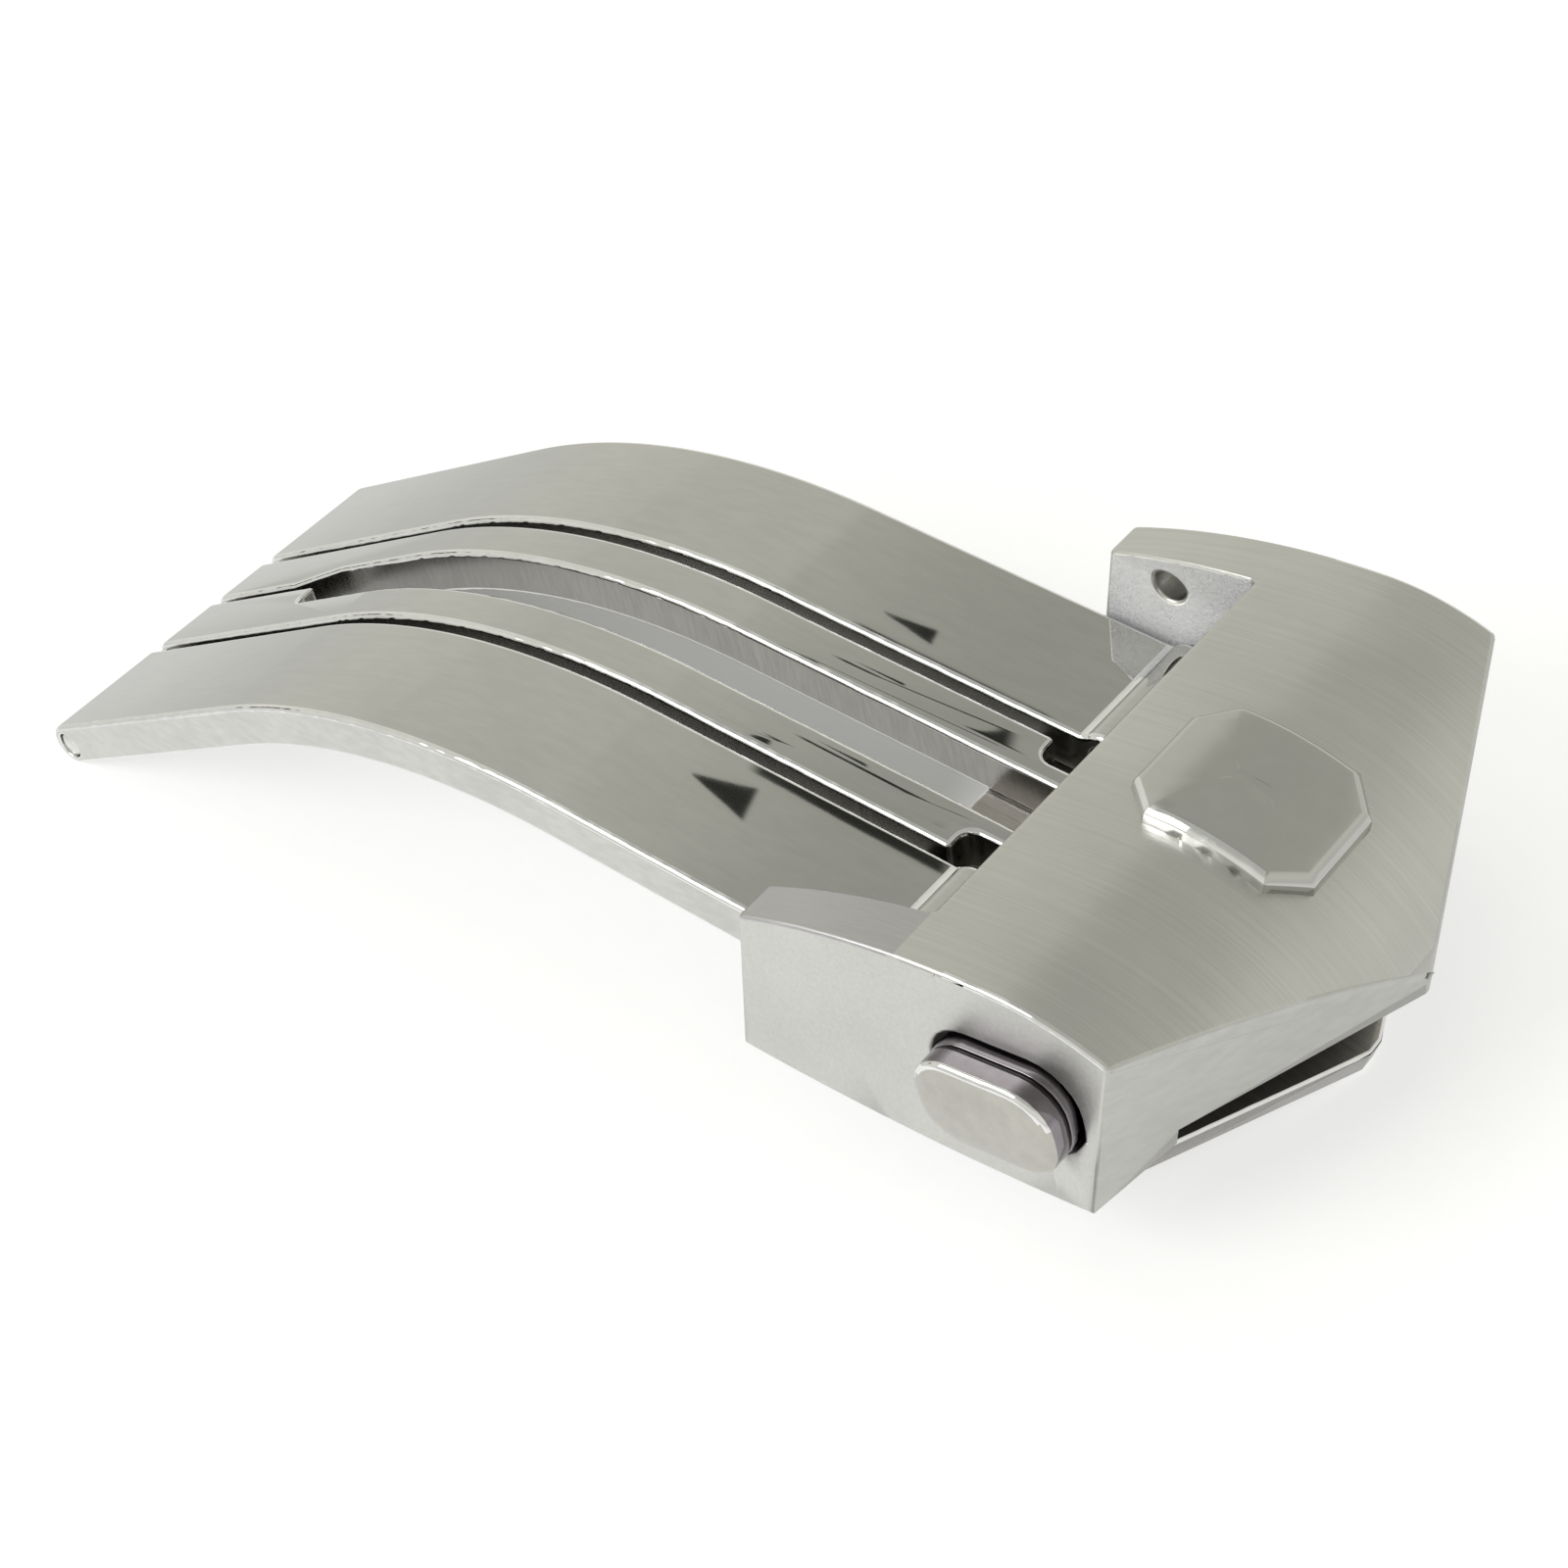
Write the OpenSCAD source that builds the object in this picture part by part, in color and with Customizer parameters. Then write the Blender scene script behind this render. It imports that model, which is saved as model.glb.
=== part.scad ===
// Single-fold deployant clasp for a leather watch strap, closed, lying on its fold and its front tip.
// +X runs from the fold to the pointed front, +Z is up, and z = 0 is the surface it lies on.

/* [Strips] */
// Width across the three strips
pack_w = 17.3; // [16.7:0.1:17.6]
// Width of the middle strip
mid_w = 5.8; // [5.4:0.1:7]
// Gap between neighbouring strips
slit_w = 0.45; // [0.2:0.05:0.8]
// Thickness of the strips, which is the diameter of the fold barrel too
strip_t = 1.75; // [1.5:0.05:2.1]
// Steepness of the run that rises from the fold, in degrees
rise_a = 22.5; // [20:0.5:25]
// Length of the rising run
rise_len = 13.4; // [12:0.1:15]
// Radius of the strips' upper face over the wrist
bow_r = 30.3; // [27:0.1:34]
// Fall of the front run, in degrees
fall_a = 10.5; // [9:0.5:12]
// Length of the front run up to the hinge of the cover
front_len = 13.1; // [12.8:0.1:14]
// Width of the slot in the middle strip
slot_w = 2.2; // [1.4:0.1:2.6]
// Where the slot begins, measured from the fold
slot_x = 7; // [6:0.5:12]
// Length of the slot past the hinge of the cover
slot_past = 1.2; // [1:0.05:1.4]
// Width of the saw cut that splits the middle strip's knuckle
cut_w = 0.4; // [0.2:0.05:0.6]
// Distance of the saw cut from the middle
cut_y = 0.2; // [0:0.05:0.4]
// Depth of the relief at each side of the middle strip
relief_d = 1; // [0.6:0.1:1.2]
// Length of the relief ahead of the cover's knuckles
relief_l = 0.5; // [0.4:0.1:1]
// Length of the middle strip past the hinge of the cover
mid_past = 3.3; // [3:0.1:3.35]

/* [Pins] */
// Radius of the fold pin
fold_pin_r = 0.55; // [0.4:0.05:0.6]
// Radius of the cover's knuckles
knuckle_r = 1.05; // [1:0.05:1.2]
// Radius of the cover's stub pins
stub_r = 0.55; // [0.4:0.05:0.65]
// Play between a knuckle and the strap plate
knuckle_gap = 0.05; // [0.03:0.01:0.1]
// Length of a stub pin inside its knuckle
stub_in = 3; // [2:0.1:4]
// Depth of a stub pin in its ear
stub_out = 0.9; // [0.5:0.1:1]
// Radial clearance of a running pin
run_gap = 0.04; // [0.02:0.01:0.08]
// Side clearance between moving pieces
side_gap = 0.35; // [0.2:0.05:0.5]

/* [Cover] */
// Clear width between the ears, the strap's width
strap_w = 18; // [17.9:0.1:20]
// Thickness of the side walls and ears
wall_t = 1.5; // [1.3:0.1:2]
// Tilt of the cover against the surface that it lies on, in degrees
tilt = 14.2; // [13:0.2:15]
// Height of the ears at their free end
ear_h = 6.13; // [5.8:0.05:6.5]
// Distance of the hinge from the free end of the ears
hinge_u = 3.84; // [3.6:0.05:4.1]
// Height of the hinge above the ears' lower edge
hinge_v = 3.25; // [3.1:0.05:3.45]
// Length of the side walls
side_len = 13.06; // [12.8:0.02:13.4]
// Length from the ears to the point
total_len = 17.45; // [17.2:0.05:18]
// Rise of the lower edge along the side walls
edge_rise = 2.23; // [2:0.05:2.4]
// Belly of the lower edge
edge_belly = 0.3; // [0.1:0.05:0.5]
// Height above the lower edge from which the ears lean in
lean_v = 6; // [5.8:0.1:6.4]
// How far the ears lean in, in degrees
lean_a = 11.5; // [6:0.5:12]
// Where the roof begins, measured from the free end of the ears
roof_u = 5.7; // [5.6:0.1:6.5]
// Length of the slanted step of the lower edge in front of the side walls
step_u = 1.03; // [0.8:0.05:1.3]
// Height of that step
step_v = 1.57; // [1.4:0.05:1.7]
// Thickness of the roof
roof_t = 1.2; // [1.1:0.05:1.4]
// Thickness of the front walls
front_t = 1.2; // [0.9:0.05:1.4]
// Radius of the crown
crown_r = 28; // [26:0.5:32]
// Steepness of the crown's end at the ears against the surface, in degrees
crown_a = 15; // [14:0.5:16]
// Radius of the nose
nose_r = 8.6; // [8.2:0.1:9]
// Steepness of the nose at the point, against the cover's lower edge, in degrees
point_a = 53.2; // [50:0.2:56]
// Width of the strap opening in the front
mouth_w = 16; // [15:0.2:17]
// Height of the top of the strap opening
mouth_z = 4.25; // [4:0.05:4.8]

/* [Spring bar holes] */
// Radius of the holes
bar_r = 0.6; // [0.4:0.05:0.7]
// Depth of the holes
bar_depth = 1; // [0.6:0.1:1.1]
// Distance from the free end of the ears
bar_u = 2.38; // [2:0.05:2.6]
// Height above the ears' lower edge
bar_v = 5.88; // [5.4:0.05:6]

/* [Badge plate] */
// Length along the roof
badge_len = 6.3; // [5:0.1:6.8]
// Width
badge_w = 5.3; // [4:0.1:6.4]
// Height above the roof
badge_h = 0.62; // [0.3:0.02:0.8]
// Size of its cut corners
badge_cut = 1.1; // [0.6:0.1:1.6]
// Place along the roof, as a heading of the nose, in degrees
badge_a = 2.5; // [0:0.5:5]

/* [Strap plate] */
// Thickness
plate_t = 1.15; // [0.9:0.05:1.25]
// Width
plate_w = 15.8; // [15:0.1:16]
// Where it begins on the front run
plate_s = 10; // [9.5:0.1:10.8]
// Length of its flat part
plate_flat = 10; // [9.8:0.1:10.4]
// Radius of its bend
bend_r = 5; // [3:0.5:8]
// Steepness of its bent front, in degrees
tip_a = 25.5; // [24:0.5:28]
// Width of the blunt tip
tip_w = 0.6; // [0.4:0.1:2]
// Slant of the front edges, in degrees
slant_a = 22; // [18:0.5:23]
// Width of the strap window
window_w = 13.6; // [12:0.1:14]
// Length of the strap window
window_l = 2.2; // [1.8:0.1:2.3]
// Width of the bar in front of the window
bar_w = 1.7; // [1.4:0.1:1.8]
// Radius of the strap peg's shank
peg_r = 0.75; // [0.6:0.05:0.9]
// Length of the strap peg's shank
peg_len = 1.6; // [1.2:0.1:1.8]
// Radius of the strap peg's head
peg_head_r = 1.15; // [1:0.05:1.4]
// Thickness of the strap peg's head
peg_head_t = 0.6; // [0.4:0.05:0.8]
// Place of the strap peg on the front run
peg_s = 13.4; // [13:0.1:13.8]

/* [Buttons] */
// Length of a button
button_l = 5; // [4.4:0.1:5.2]
// Height of a button
button_v = 3.3; // [2.8:0.1:3.4]
// Corner radius of a button
button_r = 1.4; // [1:0.1:1.5]
// Gap between a button and its hole
button_gap = 0.15; // [0.08:0.01:0.2]
// How far a button stands out
button_out = 1.3; // [1.1:0.05:1.5]
// Travel of a button
travel = 1; // [0.9:0.05:1]
// Thickness of a button's inner flange
flange_t = 0.9; // [0.7:0.05:1]
// Play of the flange behind its wall
flange_gap = 0.1; // [0.05:0.01:0.15]
// Width of a button's bevelled edge
button_edge = 0.35; // [0.2:0.05:0.5]
// How far the flange reaches past the button
flange_lip = 0.5; // [0.4:0.05:0.55]
// Distance of a button from the hinge, along the strips
button_s = 6.11; // [5.98:0.01:6.18]
// Height of a button above the strips' middle plane
button_k = 1.94; // [1.9:0.01:2]

/* [Latch] */
// Place of the catch past the hinge
catch_s = 3.8; // [3.73:0.01:3.88]
// Length of the catch
catch_l = 2.8; // [2.7:0.05:2.85]
// Outer half width of the catch
catch_y = 3.65; // [3.6:0.05:3.7]
// Wall of the catch
catch_t = 0.9; // [0.7:0.05:0.95]
// Thickness of the catch's base
catch_base = 0.6; // [0.4:0.05:0.7]
// Thickness of the bar that a tooth grips
catch_bar = 0.45; // [0.4:0.01:0.48]
// Width of a hook
hook_w = 1.3; // [1.1:0.05:1.35]
// Thickness of a hook's arm
hook_t = 0.9; // [0.8:0.05:0.95]
// Play of a hook's arm over the catch
hook_gap = 0.15; // [0.1:0.01:0.2]
// Thickness of a hook's tab
tab_t = 0.8; // [0.6:0.05:0.85]
// Thickness of a hook's leg
leg_t = 0.8; // [0.6:0.05:0.85]
// Height of a tooth above the strips' middle plane
tooth_k = 1; // [0.96:0.01:1.05]
// Thickness of a tooth
tooth_t = 0.5; // [0.4:0.01:0.52]
// How far a tooth reaches under its bar
tooth_grip = 0.55; // [0.4:0.05:0.6]
// Play of a tooth under its bar
tooth_gap = 0.05; // [0.03:0.01:0.08]
// Half width of the housing
house_y = 5.2; // [5:0.05:5.3]
// Wall of the housing
house_t = 0.6; // [0.5:0.05:0.65]
// Radius of a spring's turns
spring_r = 0.6; // [0.5:0.05:0.65]
// Wire of a spring
spring_wire = 0.22; // [0.18:0.01:0.24]
// Distance of a spring from its hook's arm
spring_back = 1.85; // [1.8:0.05:1.9]
// Height of a spring above its hook's tooth
spring_up = 1.2; // [1.1:0.05:1.3]
// Rim of the housing past its springs
house_rim = 0.4; // [0.3:0.05:0.45]
// Turns of a spring
spring_turns = 3; // [2:1:3]
// Radius of the screws' shanks
screw_r = 0.4; // [0.3:0.02:0.45]
// Radius of the screws' heads
screw_head_r = 0.7; // [0.55:0.05:0.75]
// Thickness of the screws' heads
screw_head_t = 0.35; // [0.25:0.05:0.4]
// Reach of a hook's screw into its button
screw_reach = 1.4; // [1:0.05:1.5]
// Metal left in the roof above the housing's screws
house_skin = 0.41; // [0.3:0.05:0.7]
// Distances of the catch's and the housing's screws from the middle
catch_screw_y = 1.3; // [1.2:0.05:1.4]
house_screw_y = 2; // [1.8:0.05:2.2]
// Radius of the rivets
rivet_r = 0.5; // [0.35:0.05:0.55]
// Distances of the rivets from the middle and from the strip's end
rivet_y = 0.9; // [0.8:0.05:1.4]
rivet_s = 0.75; // [0.7:0.05:0.85]

/* [Hidden] */
$fn = 96;
far = 60;
lap = 0.01;

// A direction in the side view and the normal above it
function way(a) = [cos(a), sin(a)];
function up(a) = [-sin(a), cos(a)];

// Middle line of the strips in the side view: the rise, the bow and the front run
barrel_r = strip_t / 2;
fold_c = [0, barrel_r];
bow_start = fold_c + rise_len * way(rise_a);
bow_c = bow_start - (bow_r - barrel_r) * up(rise_a);
front_c = bow_c + (bow_r - barrel_r) * up(-fall_a);

// The front run's own frame: s along it, k above its middle line
function at_front(s, k) = front_c + s * way(-fall_a) + k * up(-fall_a);
under_k = -barrel_r;
hinge_k = knuckle_r + knuckle_gap - barrel_r;
hinge_s = front_len;
hinge_c = at_front(hinge_s, hinge_k);
mid_end = hinge_s + mid_past;

// Strap plate: bent down, with a straight front that is so long that the tip's lower edge meets the surface
plate_end = plate_s + plate_flat;
bend_c = at_front(plate_end, under_k) - bend_r * up(-fall_a);
bend_end = bend_c + bend_r * up(-tip_a);
tip_l = (bend_end[1] - plate_t * cos(tip_a)) / sin(tip_a);
tip_c = bend_end + tip_l * way(-tip_a);

// Cover frame: u from the ears' free end to the front, v up from the ears' lower edge
cover_c = hinge_c - [hinge_u * cos(tilt) + hinge_v * sin(tilt), hinge_v * cos(tilt) - hinge_u * sin(tilt)];
cover_w = strap_w + 2 * wall_t;
ear_a = crown_a + tilt;
crown_c = [0, ear_h] - crown_r * up(ear_a);
nose_a = asin((crown_c[0] - total_len + nose_r * sin(point_a)) / (crown_r - nose_r));
end_a = -point_a - 5;
nose_c = crown_c + (crown_r - nose_r) * up(nose_a);
front_slope = (total_len - side_len) / (cover_w / 2);
front_run = front_t * sqrt(1 + front_slope * front_slope);
edge_chord = norm([side_len, edge_rise]);
edge_r = (edge_chord * edge_chord / 4 + edge_belly * edge_belly) / (2 * edge_belly);
edge_a = atan2(edge_rise, side_len);
edge_c = [side_len, edge_rise] / 2 + (edge_r - edge_belly) * up(edge_a);

// Middle of the whole clasp, which becomes x = 0
point_v = nose_c[1] + sqrt(nose_r * nose_r - (total_len - nose_c[0]) * (total_len - nose_c[0]));
point_x = cover_c[0] + total_len * cos(tilt) + point_v * sin(tilt);
mid_x = (point_x - barrel_r) / 2;

// Height of the cover's outer face over the front run
function to_front(c) = let (d = cover_c + [c[0] * cos(tilt) + c[1] * sin(tilt), c[1] * cos(tilt) - c[0] * sin(tilt)] - front_c)
    [d * way(-fall_a), d * up(-fall_a)];
crown_f = to_front(crown_c);
nose_f = to_front(nose_c);
nose_s = nose_f[0] - nose_r * sin(nose_a - tilt + fall_a);
function roof_k(s) = let (c = s > nose_s ? nose_f : crown_f, r = s > nose_s ? nose_r : crown_r)
    c[1] + sqrt(r * r - (s - c[0]) * (s - c[0]));

// Widths
arm_in = mid_w / 2 + slit_w;
arm_out = pack_w / 2;
ear_in = strap_w / 2;
ear_out = cover_w / 2;

// Latch
button_at = at_front(hinge_s + button_s, button_k);
catch_at = hinge_s + catch_s;
catch_in = catch_y - catch_t;
window_top = tooth_k + tooth_t + tooth_gap;
catch_top = window_top + catch_bar;
hook_s = catch_at + (catch_l - hook_w) / 2;
hook_k = catch_top + hook_gap;
leg_out = catch_in - side_gap;
flange_out = ear_in - flange_gap;
tab_y = flange_out - flange_t;
spring_s = hook_s + hook_w + spring_back;
spring_k = tooth_k + spring_up;
house_end = spring_s + spring_r + house_rim;

module placed() translate([-mid_x, 0, 0]) children();
module along_y(y0, y1) translate([0, y1, 0]) rotate([90, 0, 0]) linear_extrude(y1 - y0) children();
module front_frame() translate([front_c[0], 0, front_c[1]]) rotate([0, fall_a, 0]) children();
module cover_frame() translate([cover_c[0], 0, cover_c[1]]) rotate([0, tilt, 0]) children();
module side(s) mirror([0, s < 0 ? 1 : 0, 0]) children();
module pin_y(y0, y1, r) translate([0, y1, 0]) rotate([90, 0, 0]) cylinder(r = r, h = y1 - y0);
module bar(x0, x1, y0, y1, z0, z1) translate([x0, y0, z0]) cube([x1 - x0, y1 - y0, z1 - z0]);

// Side view of a strip, from the barrel to a place on the front run
module strip_side(s_end) {
    translate(fold_c) circle(barrel_r);
    translate(fold_c) rotate(rise_a) translate([0, -barrel_r]) square([rise_len + lap, strip_t]);
    intersection() {
        translate(bow_c) difference() {
            circle(bow_r, $fn = 360);
            circle(bow_r - strip_t, $fn = 360);
        }
        polygon([bow_c, bow_c + far * up(rise_a), bow_c + far * up(-fall_a)]);
    }
    translate(front_c) rotate(-fall_a) translate([-lap, -barrel_r]) square([s_end + lap, strip_t]);
}

module inner_blade() color("silver") placed() difference() {
    along_y(-mid_w / 2, mid_w / 2) strip_side(mid_end);
    translate([fold_c[0], 0, fold_c[1]]) pin_y(-mid_w, mid_w, fold_pin_r + run_gap);
    middle_slot();
    for (s = [-1, 1]) side(s) relief();
    front_frame() rivet_places() cylinder(r = rivet_r, h = far, center = true);
}

// The saw cut at the fold, its flare and the slot, cut straight down
module middle_slot() {
    slot_end = at_front(hinge_s + slot_past, 0)[0];
    linear_extrude(far, center = true) {
        polygon([[-2, cut_y - cut_w / 2], [slot_x, cut_y - cut_w / 2], [slot_x, -slot_w / 2 + 0.3],
                 [slot_x + 0.3, -slot_w / 2], [slot_end, -slot_w / 2], [slot_end, slot_w / 2],
                 [slot_x + 0.4, slot_w / 2], [slot_x - 2, cut_y + cut_w / 2], [-2, cut_y + cut_w / 2]]);
        translate([slot_end, 0]) circle(slot_w / 2);
    }
}

module relief() front_frame() {
    s0 = hinge_s - knuckle_r - relief_l;
    bar(s0 + relief_d / 2, far, mid_w / 2 - relief_d, mid_w, -far, far);
    translate([s0 + relief_d / 2, mid_w / 2 - relief_d / 2, 0]) cylinder(r = relief_d / 2, h = far, center = true);
    bar(s0, s0 + relief_d, mid_w / 2 - relief_d / 2, mid_w, -far, far);
}

module rivet_places() for (y = [-rivet_y, rivet_y]) translate([mid_end - rivet_s, y, 0]) children();

// Side view of the strap plate: flat, bend and straight front
module plate_side() {
    translate(at_front(plate_s, under_k - plate_t)) rotate(-fall_a) square([plate_flat + lap, plate_t]);
    intersection() {
        translate(bend_c) difference() {
            circle(bend_r, $fn = 240);
            circle(bend_r - plate_t, $fn = 240);
        }
        polygon([bend_c, bend_c + far * up(-fall_a), bend_c + far * up(-tip_a)]);
    }
    translate(tip_c) rotate(-tip_a) translate([-tip_l - lap, -plate_t]) square([tip_l + lap, plate_t]);
}

// The bent front's own frame, and a cut through it: pointed, moved back by d, with half width w
module tip_frame() translate([tip_c[0], 0, tip_c[1]]) rotate([0, tip_a, 0]) children();
module pointed(d, w, back) let (x = -d - (w - tip_w / 2) * tan(slant_a)) linear_extrude(far, center = true)
    polygon([[-back, w], [-back, -w], [x, -w], [-d, -tip_w / 2], [-d, tip_w / 2], [x, w]]);

module strap_plate() color("lightgray") placed() difference() {
    intersection() {
        along_y(-plate_w / 2, plate_w / 2) plate_side();
        tip_frame() pointed(0, plate_w / 2 + 1, far);
    }
    tip_frame() difference() {
        pointed(bar_w, window_w / 2, plate_flat);
        pointed(bar_w + window_l, plate_w / 2, far);
    }
    front_frame() {
        rivet_places() cylinder(r = rivet_r, h = far, center = true);
        catch_screw_places() translate([0, 0, under_k - plate_t * 0.75]) cylinder(r = screw_r, h = far);
        translate([peg_s, 0, 0]) cylinder(r = peg_r - 0.15, h = far, center = true);
    }
}

module plate_rivets() color("gray") placed() front_frame() rivet_places()
    translate([0, 0, under_k - plate_t]) cylinder(r = rivet_r, h = plate_t + strip_t);

module strap_peg() color("silver") placed() front_frame() translate([peg_s, 0, under_k - plate_t]) {
    cylinder(r = peg_r - 0.15, h = plate_t);
    translate([0, 0, -peg_len]) cylinder(r = peg_r, h = peg_len);
    translate([0, 0, -peg_len - peg_head_t]) cylinder(r = peg_head_r, h = peg_head_t);
}

module catch_screw_places() for (y = [-catch_screw_y, catch_screw_y])
    translate([catch_at + catch_l / 2, y, 0]) children();

// Catch: a channel on the plate, with a window in each wall for a tooth
module catch_bracket() color("silver") placed() front_frame() difference() {
    bar(catch_at, catch_at + catch_l, -catch_y, catch_y, under_k, catch_top);
    bar(catch_at - 1, catch_at + catch_l + 1, -catch_in, catch_in, under_k + catch_base, far);
    bar(hook_s - 0.15, hook_s + hook_w + 0.15, -far, far, tooth_k - 0.4, window_top);
    catch_screw_places() cylinder(r = screw_r, h = far, center = true);
}

module catch_screws() color("gray") placed() front_frame() catch_screw_places() {
    top = under_k + catch_base;
    translate([0, 0, under_k - plate_t * 0.75]) cylinder(r = screw_r, h = plate_t * 0.75 + catch_base);
    difference() {
        translate([0, 0, top]) cylinder(r = screw_head_r, h = screw_head_t);
        bar(-far, far, -0.1, 0.1, top + screw_head_t / 2, far);
    }
}

// An outer strip: barrel, band and the knuckle of the cover's hinge
module arm() difference() {
    union() {
        along_y(arm_in, arm_out) strip_side(hinge_s);
        translate([hinge_c[0], 0, hinge_c[1]]) pin_y(arm_in, arm_out, knuckle_r);
    }
    translate([fold_c[0], 0, fold_c[1]]) pin_y(-far, far, fold_pin_r);
    translate([hinge_c[0], 0, hinge_c[1]]) pin_y(-far, far, stub_r + run_gap);
}
module near_arm() color("silver") placed() side(-1) arm();
module far_arm() color("silver") placed() side(1) arm();

module fold_pin() color("gray") placed()
    translate([fold_c[0], 0, fold_c[1]]) pin_y(-arm_out, arm_out, fold_pin_r);

// Side view of the room below the cover's outer face, moved in by d: the crown, less the nose's corner
module under_crown(d) difference() {
    intersection() {
        translate(crown_c) circle(crown_r - d, $fn = 360);
        translate([0, -crown_r / 2]) square([crown_r, 2 * crown_r]);
    }
    difference() {
        polygon([nose_c, nose_c + far * up(nose_a), nose_c + far * up((nose_a + end_a) / 2),
                 nose_c + far * up(end_a)]);
        translate(nose_c) circle(nose_r - d, $fn = 180);
    }
}

module cover_plan(w, back, u0) {
    u1 = side_len + front_slope * (ear_out - w) - back;
    linear_extrude(80, center = true)
        polygon([[u0, w], [u0, -w], [u1, -w], [total_len - back, 0], [u1, w]]);
}

module button_outline(grow) {
    l = button_l + 2 * grow;
    v = button_v + 2 * grow;
    r = button_r + grow;
    square([l - 2 * r, v], center = true);
    square([l, v - 2 * r], center = true);
    for (x = [-1, 1], z = [-1, 1]) translate([x * (l / 2 - r), z * (v / 2 - r)]) circle(r, $fn = 48);
}

// The room between the ears, which lean in above lean_v
module ear_gap() let (lean = tan(lean_a) * ear_in) translate([-1, 0, 0]) rotate([90, 0, 90]) linear_extrude(roof_u + 1)
    polygon([[-ear_in, -far], [ear_in, -far], [ear_in, lean_v], [ear_in - lean, lean_v + ear_in],
             [lean - ear_in, lean_v + ear_in], [-ear_in, lean_v]]);

module cover() color("lightslategray") placed() difference() {
    cover_frame() difference() {
        intersection() {
            along_y(-ear_out, ear_out) intersection() {
                under_crown(0);
                translate(edge_c) circle(edge_r, $fn = 720);
            }
            cover_plan(ear_out, 0, 0);
        }
        intersection() {
            along_y(-ear_in, ear_in) under_crown(roof_t);
            cover_plan(ear_in, front_run, roof_u - 0.5);
        }
        ear_gap();
        along_y(-far, far) polygon([[side_len, edge_rise], [side_len + step_u, edge_rise + step_v],
                                    [far, edge_rise + step_v], [far, -far], [side_len, -far]]);
        for (s = [-1, 1]) side(s) {
            translate([bar_u, 0, bar_v]) pin_y(ear_in - 0.5, ear_in + bar_depth, bar_r);
            translate([hinge_u, 0, hinge_v]) pin_y(ear_in - 0.5, ear_in + stub_out, stub_r);
        }
    }
    bar(cover_c[0] + side_len - wall_t, far * 2, -mouth_w / 2, mouth_w / 2, -1, mouth_z);
    translate([button_at[0], 0, button_at[1]]) along_y(-far, far) button_outline(button_gap);
    for (s = [-1, 1]) side(s) translate([button_at[0], 0, button_at[1]])
        along_y(tab_y - travel - 0.1, ear_in) button_outline(flange_lip + button_gap);
    front_frame() housing_screw_places() cylinder(r = screw_r, h = house_hole_top());
}

// Raised plate on the roof: a layer over the outer face, cut to a plan with cut corners
module badge_plate() color("silver") placed() cover_frame() intersection() {
    along_y(-badge_w / 2, badge_w / 2) difference() {
        under_crown(-badge_h);
        under_crown(0);
    }
    translate([nose_c[0], 0, nose_c[1]]) rotate([0, badge_a, 0]) translate([0, 0, nose_r - 3])
        linear_extrude(far) polygon(cut_plan(badge_len / 2, badge_w / 2, badge_cut));
}
function cut_plan(l, w, c) = [[-l, -w + c], [-l + c, -w], [l - c, -w], [l, -w + c],
                              [l, w - c], [l - c, w], [-l + c, w], [-l, w - c]];

module hinge_pin() translate([hinge_c[0], 0, hinge_c[1]]) pin_y(arm_out - stub_in, ear_in + stub_out, stub_r);
module near_hinge_pin() color("gray") placed() side(-1) hinge_pin();
module far_hinge_pin() color("gray") placed() side(1) hinge_pin();

// Housing under the roof: a top plate and two end walls that guide the hooks and seat the springs
module housing_screw_places() for (y = [-house_screw_y, house_screw_y]) translate([spring_s, y, 0]) children();
function house_seat() = hook_k + hook_t + 0.1 + screw_head_t;
function house_hole_top() = roof_k(spring_s) - house_skin;
module latch_housing() color("darkgray") placed() difference() {
    intersection() {
        front_frame() difference() {
            bar(catch_at, house_end, -house_y, house_y, tooth_k + 0.3, far);
            bar(-far, far, -house_y + house_t, house_y - house_t, -far, hook_k + hook_t + 0.1);
            bar(hook_s - 0.1, hook_s + hook_w + 0.1, -far, far, -far, hook_k + hook_t + 0.1);
        }
        cover_frame() along_y(-far, far) under_crown(roof_t);
    }
    front_frame() housing_screw_places() {
        cylinder(r = screw_r, h = far);
        cylinder(r = screw_head_r + 0.05, h = house_seat());
    }
}

module housing_screws() color("gray") placed() front_frame() housing_screw_places() {
    seat = house_seat();
    translate([0, 0, seat]) cylinder(r = screw_r, h = house_hole_top() - seat);
    difference() {
        translate([0, 0, seat - screw_head_t]) cylinder(r = screw_head_r, h = screw_head_t);
        bar(-far, far, -0.1, 0.1, -far, seat - screw_head_t / 2);
    }
}

// Push button: the head in the wall, the flange behind it and the hole for its screw
module button() difference() {
    translate([button_at[0], 0, button_at[1]]) {
        along_y(tab_y + flange_t - 0.1, ear_out + button_out - button_edge) button_outline(0);
        along_y(ear_out + button_out - button_edge, ear_out + button_out - button_edge * 0.4)
            button_outline(-button_edge * 0.4);
        along_y(ear_out + button_out - button_edge * 0.4, ear_out + button_out) button_outline(-button_edge);
        along_y(tab_y, flange_out) button_outline(flange_lip);
    }
    translate([button_at[0], 0, button_at[1]]) pin_y(0, tab_y + screw_reach, screw_r);
}
module near_button() color("silver") placed() side(-1) button();
module far_button() color("silver") placed() side(1) button();

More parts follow.
